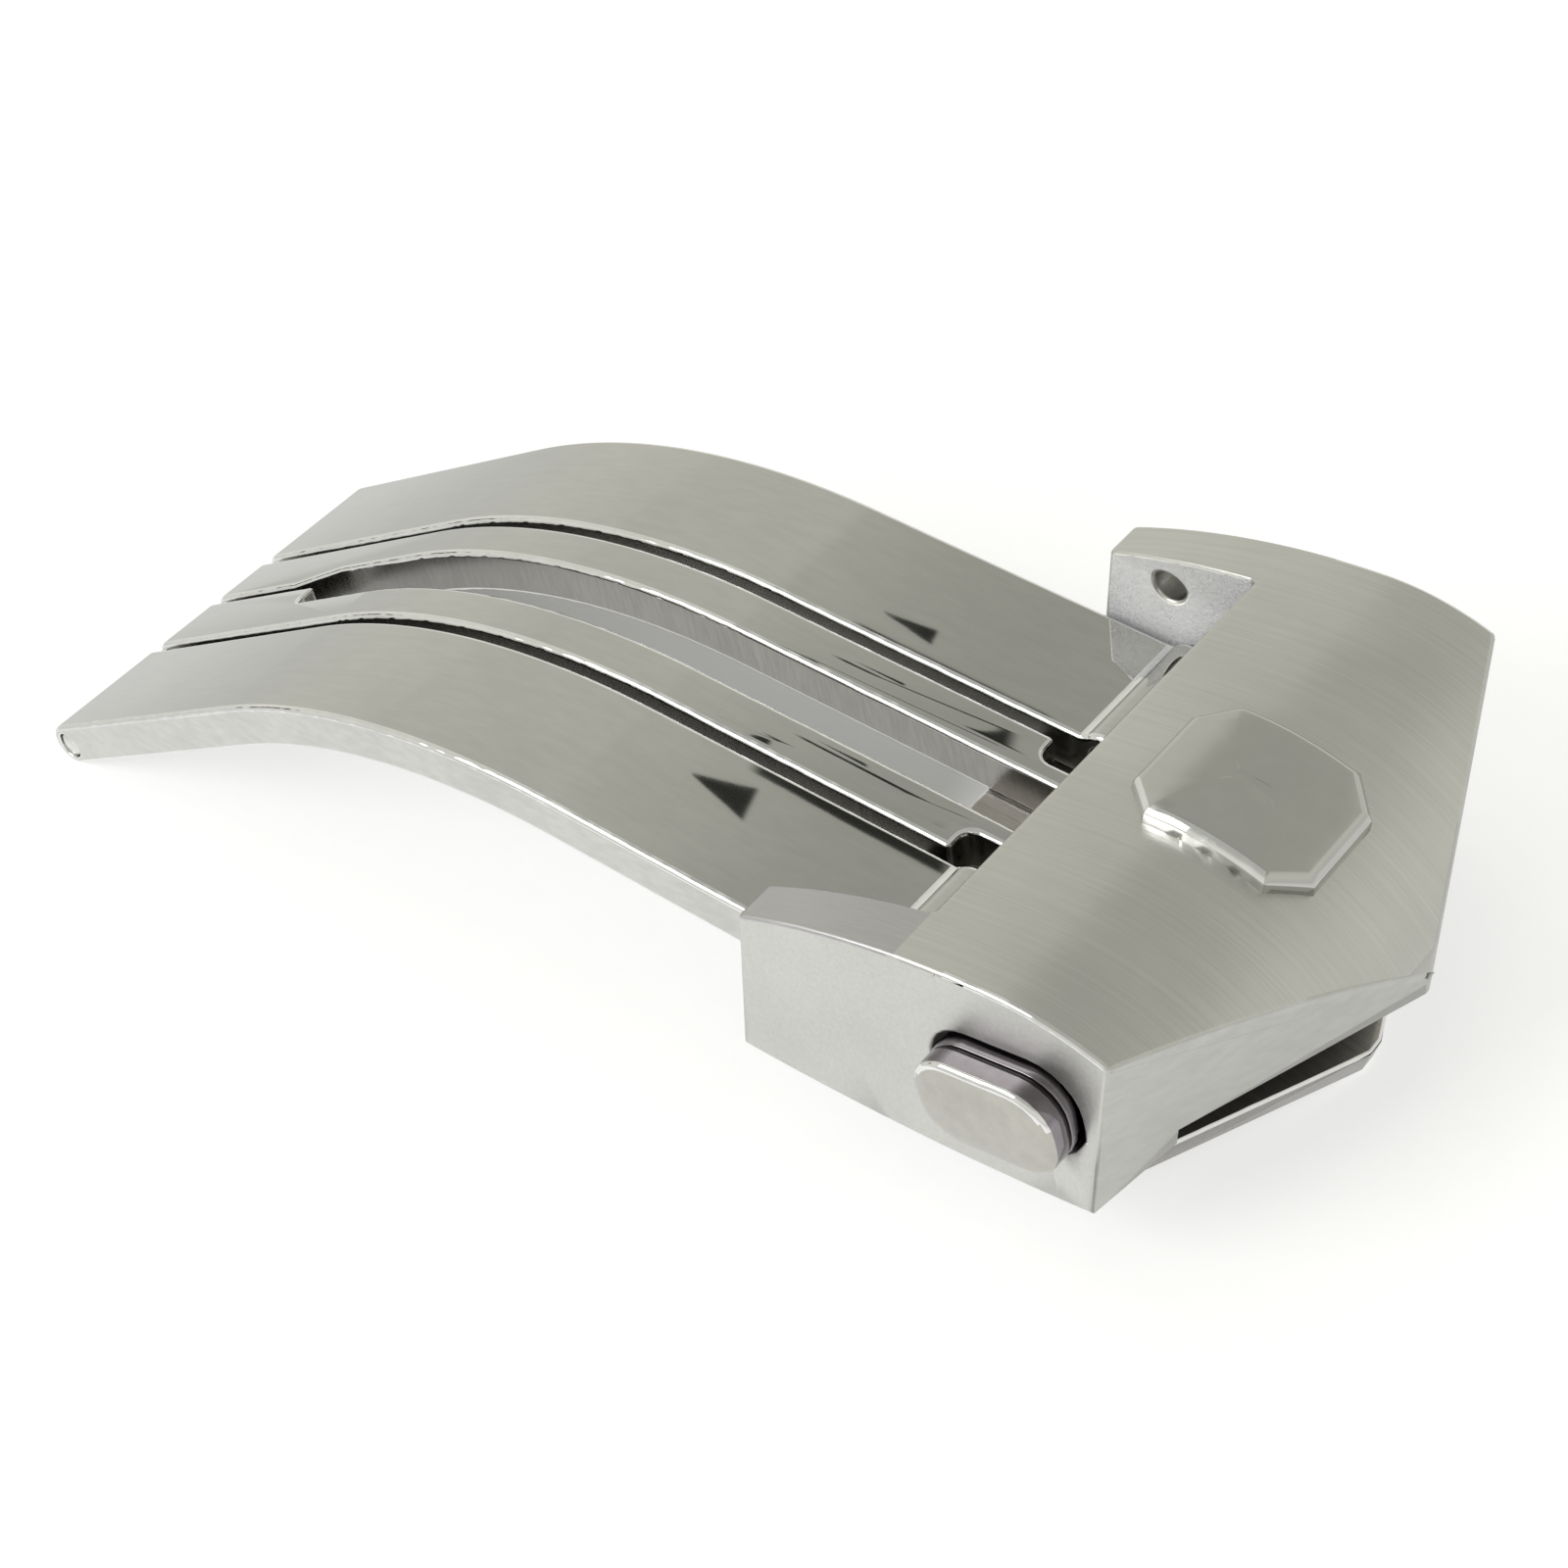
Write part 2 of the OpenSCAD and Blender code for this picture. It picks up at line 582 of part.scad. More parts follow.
// Latch hook: a tab screwed to the button, an arm across, a leg down and a tooth that points out
module hook() difference() {
    front_frame() {
        bar(hook_s, house_end, tab_y - tab_t, tab_y, tooth_k, hook_k + hook_t);
        bar(hook_s, hook_s + hook_w, leg_out - leg_t, tab_y, hook_k, hook_k + hook_t);
        bar(hook_s, hook_s + hook_w, leg_out - leg_t, leg_out, tooth_k, hook_k + hook_t);
        bar(hook_s, hook_s + hook_w, leg_out - leg_t, catch_in + tooth_grip, tooth_k, tooth_k + tooth_t);
    }
    translate([button_at[0], 0, button_at[1]]) {
        pin_y(0, ear_out, screw_r);
        pin_y(tab_y - tab_t - screw_head_t - 0.1, tab_y - tab_t, screw_head_r + 0.05);
    }
}
module near_hook() color("silver") placed() side(-1) hook();
module far_hook() color("silver") placed() side(1) hook();

module hook_screw() translate([button_at[0], 0, button_at[1]]) {
    pin_y(tab_y - tab_t, tab_y + screw_reach, screw_r);
    difference() {
        pin_y(tab_y - tab_t - screw_head_t, tab_y - tab_t, screw_head_r);
        bar(-far, far, -far, tab_y - tab_t - screw_head_t / 2, -0.1, 0.1);
    }
}
module near_hook_screw() color("gray") placed() side(-1) hook_screw();
module far_hook_screw() color("gray") placed() side(1) hook_screw();

// Return spring: one wire swept along a helix between the housing and the hook's tab
module spring() {
    rings = 8 * spring_turns;
    n = 6;
    y0 = house_y + spring_wire / 2;
    y1 = tab_y - tab_t - spring_wire / 2;
    c = at_front(spring_s, spring_k);
    pts = [for (i = [0 : rings], j = [0 : n - 1]) let (a = 360 * i / 8, b = 360 * j / n,
           r = spring_r - spring_wire / 2 + spring_wire / 2 * cos(b))
        [r * cos(a), (y0 + (y1 - y0) * i / rings) + spring_wire / 2 * sin(b), r * sin(a)]];
    sides = [for (i = [0 : rings - 1], j = [0 : n - 1]) let (a = i * n + j, b = i * n + (j + 1) % n)
        each [[a, b, a + n], [b, b + n, a + n]]];
    ends = [for (j = [1 : n - 2]) each [[0, j + 1, j], [rings * n, rings * n + j, rings * n + j + 1]]];
    translate([c[0], 0, c[1]]) polyhedron(pts, concat(sides, ends));
}
module near_spring() color("gray") placed() side(-1) spring();
module far_spring() color("gray") placed() side(1) spring();

inner_blade();
strap_plate();
plate_rivets();
strap_peg();
catch_bracket();
catch_screws();
near_arm();
far_arm();
fold_pin();
cover();
badge_plate();
near_hinge_pin();
far_hinge_pin();
latch_housing();
housing_screws();
near_button();
far_button();
near_hook();
far_hook();
near_hook_screw();
far_hook_screw();
near_spring();
far_spring();
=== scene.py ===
import cmath
from math import acos, asin, cos, degrees, pi, radians, sin, sqrt, tan

import bmesh
import bpy
from mathutils import Matrix, Vector


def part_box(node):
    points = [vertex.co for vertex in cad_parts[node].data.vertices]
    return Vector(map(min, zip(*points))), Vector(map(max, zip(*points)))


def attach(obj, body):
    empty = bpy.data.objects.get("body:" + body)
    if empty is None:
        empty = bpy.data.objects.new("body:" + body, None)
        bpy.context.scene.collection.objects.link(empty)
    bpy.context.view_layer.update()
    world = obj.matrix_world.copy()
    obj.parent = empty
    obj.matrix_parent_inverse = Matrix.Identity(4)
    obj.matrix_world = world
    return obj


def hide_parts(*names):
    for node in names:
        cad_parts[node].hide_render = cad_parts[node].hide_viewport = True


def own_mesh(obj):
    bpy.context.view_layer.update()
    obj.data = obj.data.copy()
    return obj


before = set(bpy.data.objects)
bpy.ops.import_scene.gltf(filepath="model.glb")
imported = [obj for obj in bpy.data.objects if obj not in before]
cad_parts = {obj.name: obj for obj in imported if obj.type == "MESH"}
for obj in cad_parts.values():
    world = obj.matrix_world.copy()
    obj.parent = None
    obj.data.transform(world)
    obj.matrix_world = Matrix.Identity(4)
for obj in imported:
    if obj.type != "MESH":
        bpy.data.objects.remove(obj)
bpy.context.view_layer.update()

# Inner blade, the middle strip: a bar of stainless steel, bent over the wrist. It has a long slot, a sawn
# fold knuckle and a relief at each side for the cover's knuckles. Its upper and lower faces are mirror
# polished, its sides and slot are milled and darkened with painted shade, and its broken edges carry a
# painted highlight.
strip_t, mid_w, slit_w, pack_w = 1.75, 5.8, 0.45, 17.3
rise_a, rise_len, bow_r, fall_a, front_len = 22.5, 13.4, 30.3, 10.5, 13.1
slot_w, slot_x, slot_past, cut_w, cut_y, relief_d, relief_l, mid_past = 2.2, 7.0, 1.2, 0.4, 0.2, 1.0, 0.5, 3.3
fold_pin_r, knuckle_r, run_gap = 0.55, 1.05, 0.04


def way(a):
    """A direction in the side view, as a complex number x + iz."""
    return cmath.rect(1, radians(a))


def arc(centre, radius, a0, a1, step=0.25):
    """Points of an arc in the side view, with steps of about a quarter of a millimetre."""
    n = max(2, round(abs(radians(a1 - a0)) * radius / step))
    return [centre + radius * way(a0 + (a1 - a0) * i / n) for i in range(n + 1)]


barrel_r = strip_t / 2
fold_c = 1j * barrel_r
bow_start = fold_c + rise_len * way(rise_a)
bow_c = bow_start - (bow_r - barrel_r) * way(rise_a + 90)
front_c = bow_c + (bow_r - barrel_r) * way(90 - fall_a)


def at_front(s, k):
    """The point s along the strips' front run and k above its middle, in the side view."""
    return front_c + s * way(-fall_a) + k * way(90 - fall_a)


knuckle_gap = 0.05
hinge_k = knuckle_r + knuckle_gap - barrel_r
hinge_c = at_front(front_len, hinge_k)
mid_end = front_len + mid_past
front_frame = Matrix.Translation((front_c.real, 0, front_c.imag)) @ Matrix.Rotation(radians(fall_a), 4, "Y")
mid_x = -1000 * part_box("inner_blade")[0].x - barrel_r


def strip_top(end):
    """The upper line of a strip, from the barrel round its left side to a place on the front run."""
    return (arc(fold_c, barrel_r, rise_a + 270, rise_a + 90, 0.12) + [bow_start + barrel_r * way(rise_a + 90)]
            + arc(bow_c, bow_r, rise_a + 90, 90 - fall_a)[1:] + end
            + arc(bow_c, bow_r - strip_t, 90 - fall_a, rise_a + 90))


def solid(name, outline, low, high, place=None, upright=False):
    """A prism on an outline in the side view, from low to high across, or upright on an outline in plan."""
    pts = [(p.real, p.imag) if isinstance(p, complex) else p for p in outline]
    n = len(pts)
    verts = [(a, b, h) if upright else (a, h, b) for h in (low, high) for a, b in pts]
    sides = [[i, (i + 1) % n, n + (i + 1) % n, n + i] for i in range(n)]
    return made(name, verts, [list(range(n)), list(range(n, 2 * n))] + sides, place)


def made(name, verts, faces, place=None):
    """A piece from points and faces, with its normals turned outwards."""
    mesh = bpy.data.meshes.new(name)
    mesh.from_pydata(verts, [], faces)
    edit = bmesh.new()
    edit.from_mesh(mesh)
    bmesh.ops.remove_doubles(edit, verts=edit.verts, dist=1e-5)
    bmesh.ops.recalc_face_normals(edit, faces=edit.faces)
    edit.to_mesh(mesh)
    edit.free()
    if place:
        mesh.transform(place)
    piece = bpy.data.objects.new(name, mesh)
    bpy.context.scene.collection.objects.link(piece)
    return piece


def bake(piece):
    """The piece with its modifiers made part of its mesh."""
    bpy.context.view_layer.update()
    mesh = bpy.data.meshes.new_from_object(piece.evaluated_get(bpy.context.evaluated_depsgraph_get()))
    piece.modifiers.clear()
    piece.data = mesh
    return piece


def carve(piece, *tools, how="DIFFERENCE"):
    """The piece with the tools cut out of it, or, with INTERSECT, cut to the tool."""
    for tool in tools:
        m = piece.modifiers.new("carve", "BOOLEAN")
        m.operation, m.solver, m.object = how, "EXACT", tool
    bake(piece)
    for tool in tools:
        bpy.data.objects.remove(tool)
    return piece


def round_bar(name, centre, r, y0, y1, n=48):
    """A round tool across the clasp, at a point of the side view."""
    return solid(name, [centre + r * way(360 * i / n) for i in range(n)], y0, y1)


def mirrored(piece, name):
    """The same piece on the far side."""
    mesh = piece.data.copy()
    mesh.transform(Matrix.Scale(-1, 4, (0, 1, 0)))
    edit = bmesh.new()
    edit.from_mesh(mesh)
    bmesh.ops.recalc_face_normals(edit, faces=edit.faces)
    edit.to_mesh(mesh)
    edit.free()
    twin = bpy.data.objects.new(name, mesh)
    bpy.context.scene.collection.objects.link(twin)
    return twin


def settle(piece, body, nodes, materials, pick, edge=0.12, steps=2, pick_edge=None, weigh=None):
    """Finishes a piece: its materials, its broken edges, its shading, its place in metres and its body.
    pick and pick_edge choose a material for a face and for a broken edge, and weigh scales the break."""
    sharp = radians(28)
    mesh = piece.data
    mesh.materials.clear()
    for material in materials:
        mesh.materials.append(material)
    for face in mesh.polygons:
        face.material_index = pick(face.center, face.normal)
        face.use_smooth = True
    if edge:
        m = piece.modifiers.new("edge", "BEVEL")
        m.width, m.segments, m.limit_method, m.angle_limit = edge, steps, "ANGLE", sharp
        if weigh:
            m.limit_method = "WEIGHT"
            edit = bmesh.new()
            edit.from_mesh(mesh)
            weight = edit.edges.layers.float.new("bevel_weight_edge")
            for line in edit.edges:
                if len(line.link_faces) == 2 and line.calc_face_angle(0) > sharp:
                    line[weight] = weigh((line.verts[0].co + line.verts[1].co) / 2)
            edit.to_mesh(mesh)
            edit.free()
        m.use_clamp_overlap, m.miter_outer = False, "MITER_ARC"
        m.material = len(materials) - 1
    m = piece.modifiers.new("split", "TRIANGULATE")
    m.min_vertices, m.ngon_method = 5, "CLIP"
    m = piece.modifiers.new("shading", "WEIGHTED_NORMAL")
    m.weight, m.keep_sharp = 50, False
    bake(piece)
    for face in piece.data.polygons:
        if pick_edge and face.material_index == len(materials) - 1:
            face.material_index = pick_edge(face.center, face.normal)
    piece.data.transform(Matrix.Scale(0.001, 4) @ Matrix.Translation((-mid_x, 0, 0)))
    piece.name = nodes[0] + "_piece"
    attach(piece, body)
    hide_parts(*nodes)
    return piece


class Shade:
    """A value in a material's node tree. Operators add Math nodes and node() adds any other node."""

    def __init__(self, tree, socket=None):
        self.tree, self.socket = tree, socket

    def node(self, kind, settings=None, sockets=None, out=0):
        n = self.tree.nodes.new("ShaderNode" + kind)
        for key, value in (settings or {}).items():
            if key == "stops":
                while len(n.color_ramp.elements) < len(value):
                    n.color_ramp.elements.new(0.5)
                for element, (place, colour) in zip(n.color_ramp.elements, value):
                    element.position, element.color = place, (*colour, 1)
            else:
                setattr(n, key, value)
        for key, value in (sockets or {}).items():
            if isinstance(value, Shade):
                self.tree.links.new(value.socket, n.inputs[key])
            else:
                n.inputs[key].default_value = value
        return Shade(self.tree, n.outputs[out])

    def maths(self, operation, a, b=0.0):
        return self.node("Math", {"operation": operation}, {0: a, 1: b})

    def __add__(self, x):
        return self.maths("ADD", self, x)

    __radd__ = __add__

    def __sub__(self, x):
        return self.maths("SUBTRACT", self, x)

    def __rsub__(self, x):
        return self.maths("SUBTRACT", x, self)

    def __mul__(self, x):
        return self.maths("MULTIPLY", self, x)

    __rmul__ = __mul__

    def __truediv__(self, x):
        return self.maths("DIVIDE", self, x)

    def __abs__(self):
        return self.maths("ABSOLUTE", self)

    def ease(self, low, high):
        """0 up to low and 1 from high on, with a smooth rise between them. High may be the smaller one."""
        return self.node("MapRange", {"interpolation_type": "SMOOTHSTEP"},
                         {"Value": self, "From Min": low, "From Max": high}, "Result")


def metal(name, light, dark, rough, grain, depth, turn=0.0, fine=0.6, spread=0.1, waves=0.0, wave_size=7.0,
          streaks=0.0, bare=1.0):
    """Bare steel: its light and dark tones, its roughness, the size of its grain along x, y and z and the
    height of that grain, and the height and length of the waves that polishing leaves, in millimetres."""
    material = bpy.data.materials.new(name)
    material.use_nodes = True
    tree = material.node_tree
    shader = tree.nodes["Principled BSDF"]
    sh = Shade(tree)
    place = sh.node("TexCoord", out="Object")

    def drawn(size, detail, rough_share):
        """Noise drawn out along the grain, with the grain's size in metres times a factor."""
        along = sh.node("Mapping", {"vector_type": "TEXTURE"}, {
            "Vector": place, "Rotation": (0, radians(turn), 0), "Scale": tuple(g * size for g in grain)})
        return sh.node("TexNoise", None, {"Vector": along, "Scale": 1.0, "Detail": detail,
                                          "Roughness": rough_share}, "Fac")

    lines = drawn(0.001, 4.0, fine)
    clouds = sh.node("TexNoise", None, {"Vector": place, "Scale": 260.0, "Detail": 3.0}, "Fac")
    mix = lines * 0.6 + clouds * 0.4
    if streaks:
        mix = mix + (drawn(0.004, 3.0, 0.7) - 0.5) * streaks
    tone = sh.node("Mix", {"data_type": "RGBA"},
                   {"Factor": mix.ease(0.25, 0.75), "A": (*dark, 1), "B": (*light, 1)}, "Result")
    tree.links.new(tone.socket, shader.inputs["Base Color"])
    shader.inputs["Metallic"].default_value = bare
    roughness = rough + (lines - 0.5) * spread + (clouds - 0.5) * (spread * 0.6)
    tree.links.new(roughness.socket, shader.inputs["Roughness"])
    height = lines * depth
    if waves:
        polish = sh.node("TexNoise", None, {"Vector": place, "Scale": 1000 / wave_size, "Detail": 1.0}, "Fac")
        height = height + polish * waves
    bump = sh.node("Bump", None, {"Height": height, "Strength": 1.0, "Distance": 0.001}, "Normal")
    tree.links.new(bump.socket, shader.inputs["Normal"])
    return material


mirror_steel = metal("mirror_steel", (0.52, 0.52, 0.495), (0.47, 0.47, 0.45), 0.018, (1.5, 0.3, 1.5), 0.00004,
                     spread=0.012, waves=0.0016)
# Milled steel, darker than the satin sides: painted shade for the faces inside the slot and slits.
milled_steel_painted_shade = metal("milled_steel_painted_shade", (0.33, 0.32, 0.30), (0.25, 0.242, 0.228), 0.24, (0.16, 0.16, 1.2),
                     0.0008, streaks=0.12)
satin_side = metal("satin_side", (0.62, 0.62, 0.60), (0.50, 0.50, 0.485), 0.24, (0.8, 0.3, 0.3), 0.001)
# Broken edges: steel brighter than the faces, a painted highlight, with waves that break it into beads of
# light.
edge_highlight_steel = metal("edge_highlight_steel", (0.80, 0.80, 0.80), (0.70, 0.70, 0.69), 0.08, (0.5, 0.5, 0.5), 0.0004,
                   spread=0.05, waves=0.07, wave_size=1.1)

blade = solid("inner_blade_piece", strip_top([at_front(mid_end, barrel_r), at_front(mid_end, -barrel_r)]),
              -mid_w / 2, mid_w / 2)
slot_end, slot_r = at_front(front_len + slot_past, 0).real, slot_w / 2
slot_line = ([(-2, cut_y - cut_w / 2), (slot_x, cut_y - cut_w / 2), (slot_x, -slot_r + 0.3),
              (slot_x + 0.3, -slot_r), (slot_end, -slot_r)]
             + [(slot_end + slot_r * cos(radians(a)), slot_r * sin(radians(a))) for a in range(-80, 90, 10)]
             + [(slot_end, slot_r), (slot_x + 0.4, slot_r), (slot_x - 2, cut_y + cut_w / 2),
                (-2, cut_y + cut_w / 2)])
carve(blade, round_bar("bore", fold_c, fold_pin_r + run_gap, -4, 4),
      solid("slot", slot_line, -5, 20, upright=True))
relief_s, relief_r = front_len - knuckle_r - relief_l, relief_d / 2
relief_y = mid_w / 2 - relief_r
for side in (-1, 1):
    outline = [(relief_s, side * mid_w), (relief_s, side * relief_y)] + [
        (relief_s + relief_r - relief_r * cos(radians(a)), side * (relief_y - relief_r * sin(radians(a))))
        for a in range(15, 90, 15)] + [
        (relief_s + relief_r, side * (relief_y - relief_r)), (mid_end + 1, side * (relief_y - relief_r)),
        (mid_end + 1, side * mid_w)]
    carve(blade, solid("relief", outline, -5, 5, front_frame, upright=True))
strip_steels = [mirror_steel, milled_steel_painted_shade, satin_side, edge_highlight_steel]
strip_break, bore_break = 0.19, 0.35


def fine_bores(mid):
    """A smaller break on the edges of the bores."""
    return bore_break if any(abs(complex(mid.x, mid.z) - c) < 0.7 for c in (fold_c, hinge_c)) else 1


def by_face(side_slope, out=99.0):
    """Mirror finish on faces that look up or down, satin on outer sides, and milled steel with painted shade
    in the slot and slits.
    """
    return lambda centre, normal: (0 if abs(normal.z) > side_slope and abs(normal.y) < 0.5
                                   else 2 if abs(centre.y) > out - 0.01 else 1)


settle(blade, "inner_blade", ["inner_blade"], strip_steels, by_face(0.5), edge=strip_break,
       steps=3, weigh=fine_bores)

# Outer arms: two more bent bars of the same steel, one on each side of the blade. Each has a bored barrel at
# the fold and a round knuckle at the cover, and is mirror polished on its broad faces and satin on its sides,
# except the near arm's inner side and ends, which are milled with painted shade; the broken edges carry a
# painted highlight.
arm_in, arm_out, stub_r = mid_w / 2 + slit_w, pack_w / 2, 0.55
rise_over = degrees(asin((barrel_r - hinge_k) / knuckle_r))
arm = solid("near_arm_piece", strip_top(arc(hinge_c, knuckle_r, 180 - rise_over - fall_a, -90 - fall_a, 0.12)
                                        + [at_front(front_len, -barrel_r)]), -arm_out, -arm_in)
carve(arm, round_bar("fold_bore", fold_c, fold_pin_r, -9, 9),
      round_bar("hinge_bore", hinge_c, stub_r + run_gap, -9, 9))
far_arm = mirrored(arm, "far_arm_piece")
for piece, node, satin_y in ((arm, "near_arm", arm_out), (far_arm, "far_arm", arm_in)):
    settle(piece, "outer_arms", [node], strip_steels, by_face(0.3, satin_y),
           edge=strip_break, steps=3, weigh=fine_bores)

# Fold pin and hinge pins: turned steel pins with domed ends. One is pressed through both arms at the fold,
# and two short ones hold the cover on the arms.
strap_w, wall_t, stub_in, stub_out = 18.0, 1.5, 3.0, 0.9
ear_in, ear_out = strap_w / 2, strap_w / 2 + wall_t
pin_steel = metal("pin_steel", (0.74, 0.74, 0.72), (0.62, 0.62, 0.60), 0.30, (0.4, 0.04, 0.4), 0.0008)


def stacked(name, verts, n, place=None):
    """A closed piece from rows of n points, with a face across the first row and one across the last."""
    faces = [[j * n + i, j * n + (i + 1) % n, (j + 1) * n + (i + 1) % n, (j + 1) * n + i]
             for j in range(len(verts) // n - 1) for i in range(n)]
    return made(name, verts, faces + [list(range(n)), list(range(len(verts) - n, len(verts)))], place)


def lathe(name, centre, profile, n=48):
    """A turned piece across the clasp: its profile is a list of (radius, y)."""
    verts = [(centre.real + r * cos(2 * pi * i / n), y, centre.imag + r * sin(2 * pi * i / n))
             for r, y in profile for i in range(n)]
    return stacked(name, verts, n)


def dome(r, y, height, out):
    """The rounded end of a pin whose tip is at y."""
    rows = [(r * sin(radians(a)) + 0.001, y - out * height * (1 - cos(radians(a)))) for a in range(0, 91, 10)]
    return rows if out < 0 else rows[::-1]


dome_h = 0.22
stub_y0, stub_y1 = arm_out - stub_in, ear_in + stub_out
for name, centre, r, y0, y1, body in (("fold_pin", fold_c, fold_pin_r, -arm_out, arm_out, "outer_arms"),
                                      ("near_hinge_pin", hinge_c, stub_r, -stub_y1, -stub_y0, "cover"),
                                      ("far_hinge_pin", hinge_c, stub_r, stub_y0, stub_y1, "cover")):
    pin = lathe(name + "_piece", centre, dome(r, y0, dome_h, -1) + dome(r, y1, dome_h, 1))
    settle(pin, body, [name], [pin_steel], lambda c, n: 0, edge=0)

# Strap plate: a pointed plate riveted under the blade's end, bent down in front. One half of the strap goes
# round the bar in front of its window. It is pressed from sheet and satin finished, its sides are milled with
# painted shade and its broken edges carry a painted highlight.
plate_t, plate_w, plate_s, plate_flat = 1.15, 15.8, 10.0, 10.0
bend_r, tip_a, tip_w, slant_a = 5.0, 25.5, 0.6, 22.0
window_w, window_l, bar_w, rivet_r, peg_s, peg_r, screw_r = 13.6, 2.2, 1.7, 0.5, 13.4, 0.75, 0.4
bend_c = at_front(plate_s + plate_flat, -barrel_r) - bend_r * way(90 - fall_a)
bend_end = bend_c + bend_r * way(90 - tip_a)
tip_l = (bend_end.imag - plate_t * cos(radians(tip_a))) / sin(radians(tip_a))
tip_c = bend_end + tip_l * way(-tip_a)
tip_frame = Matrix.Translation((tip_c.real, 0, tip_c.imag)) @ Matrix.Rotation(radians(tip_a), 4, "Y")


def pointed(d, w):
    """The plate's pointed front seen square to its bent part, moved back by d, with half width w."""
    back = -d - (w - tip_w / 2) * tan(radians(slant_a))
    return [(back, -w), (-d, -tip_w / 2), (-d, tip_w / 2), (back, w)]


plate = solid("strap_plate_piece",
              [at_front(plate_s, -barrel_r)] + arc(bend_c, bend_r, 90 - fall_a, 90 - tip_a)
              + [tip_c, tip_c - plate_t * way(90 - tip_a)]
              + arc(bend_c, bend_r - plate_t, 90 - tip_a, 90 - fall_a)
              + [at_front(plate_s, -barrel_r - plate_t)], -plate_w / 2, plate_w / 2)
plate_plan = [(-40, plate_w), (-40, -plate_w)] + pointed(0, plate_w / 2 + 1)
window = pointed(bar_w, window_w / 2) + pointed(bar_w + window_l, window_w / 2)[::-1]
carve(plate, solid("plan", plate_plan, -20, 20, tip_frame, upright=True), how="INTERSECT")
carve(plate, solid("window", window, -20, 20, tip_frame, upright=True))
satin_steel = metal("satin_steel", (0.40, 0.385, 0.36), (0.31, 0.30, 0.28), 0.30, (2.0, 0.06, 2.0), 0.004,
                    streaks=0.4)
settle(plate, "inner_blade", ["strap_plate"], [satin_steel, milled_steel_painted_shade, edge_highlight_steel],
       by_face(0.5), edge=0.12)

# Cover: one machined block with ears, side walls, roof and pointed front. The roof and nose are brushed from
# the ears to the point, the walls are blasted, and the upper edges are polished. Painted shade darkens the
# near ear's top and the inside of the front, painted light brightens the ears' inner faces, and a painted
# highlight runs along the walls' upper edges towards the front.
tilt, ear_h, hinge_u, hinge_v, side_len, total_len = 14.2, 6.13, 3.84, 3.25, 13.06, 17.45
lean_v, lean_a, step_u, step_v = 6.0, 11.5, 1.03, 1.57
edge_rise, edge_belly, roof_u, roof_t, front_t, crown_a, crown_r = 2.23, 0.3, 5.7, 1.2, 1.2, 15.0, 28.0
nose_r, point_a, mouth_w, mouth_z = 8.6, 53.2, 16.0, 4.25
bar_r, bar_depth, bar_u, bar_v = 0.6, 1.0, 2.38, 5.88
cover_at = hinge_c - complex(hinge_u * cos(radians(tilt)) + hinge_v * sin(radians(tilt)),
                             hinge_v * cos(radians(tilt)) - hinge_u * sin(radians(tilt)))
cover_frame = Matrix.Translation((cover_at.real, 0, cover_at.imag)) @ Matrix.Rotation(radians(tilt), 4, "Y")
crown_c = 1j * ear_h - crown_r * way(crown_a + tilt + 90)
nose_a = degrees(asin((crown_c.real - total_len + nose_r * sin(radians(point_a))) / (crown_r - nose_r)))
nose_c = crown_c + (crown_r - nose_r) * way(nose_a + 90)
front_slope = (total_len - side_len) / ear_out
front_run = front_t * sqrt(1 + front_slope ** 2)
chord = complex(side_len, edge_rise)
edge_r = (abs(chord) ** 2 / 4 + edge_belly ** 2) / (2 * edge_belly)
edge_c = chord / 2 + (edge_r - edge_belly) * 1j * chord / abs(chord)


def crown(d):
    """The upper line of the cover, moved in by d: the crown's arc and the nose's arc."""
    at_roof = degrees(acos((roof_u - crown_c.real) / (crown_r - d)))
    return (arc(crown_c, crown_r - d, crown_a + tilt + 90, at_roof)
            + arc(crown_c, crown_r - d, at_roof, nose_a + 90)[1:]
            + arc(nose_c, nose_r - d, nose_a + 90, 90 - point_a - 5, 0.2)[1:])


def cover_plan(w, back, u0):
    """The cover seen from above, with half width w, its pointed front moved back, from u0 on."""
    u1 = side_len + front_slope * (ear_out - w) - back
    return [(u0, w), (u0, -w), (u1, -w), (total_len - back, 0), (u1, w)]


low_a = degrees(cmath.phase(-edge_c))
high_a = degrees(cmath.phase(chord - edge_c))
top, step_z = crown(0), edge_rise + step_v
cover = solid("cover_piece",
              top + [complex(top[-1].real, step_z), complex(side_len + step_u, step_z)]
              + arc(edge_c, edge_r, high_a, low_a), -ear_out, ear_out, cover_frame)
carve(cover, solid("plan", cover_plan(ear_out, 0, 0), -5, 20, cover_frame, upright=True), how="INTERSECT")
inside, room_u = crown(roof_t), roof_u - 0.5
room = solid("room", inside + [complex(inside[-1].real, -8), complex(room_u, -8)], -ear_in, ear_in,
             cover_frame)
room_plan = solid("room_plan", cover_plan(ear_in, front_run, room_u), -20, 20, cover_frame, upright=True)
carve(room, room_plan, how="INTERSECT")
carve(cover, room)
lean = ear_in * tan(radians(lean_a))
along_u = Matrix(((0, 0, 1, 0), (1, 0, 0, 0), (0, 1, 0, 0), (0, 0, 0, 1)))
gap = [(-ear_in, -9), (ear_in, -9), (ear_in, lean_v), (ear_in - lean, lean_v + ear_in),
       (lean - ear_in, lean_v + ear_in), (-ear_in, lean_v)]
carve(cover, solid("gap", gap, -1, roof_u, cover_frame @ along_u, upright=True))


def button_outline(grow, n=6, l=5.0, v=3.3, r=1.4):
    """The button's rounded outline round its middle, in the side view."""
    l, v, r = l / 2 + grow, v / 2 + grow, r + grow
    return [complex(sx * (l - r), sz * (v - r)) + r * way(a0 + 90 * i / n)
            for sx, sz, a0 in ((1, 1, 0), (-1, 1, 90), (-1, -1, 180), (1, -1, 270)) for i in range(n + 1)]


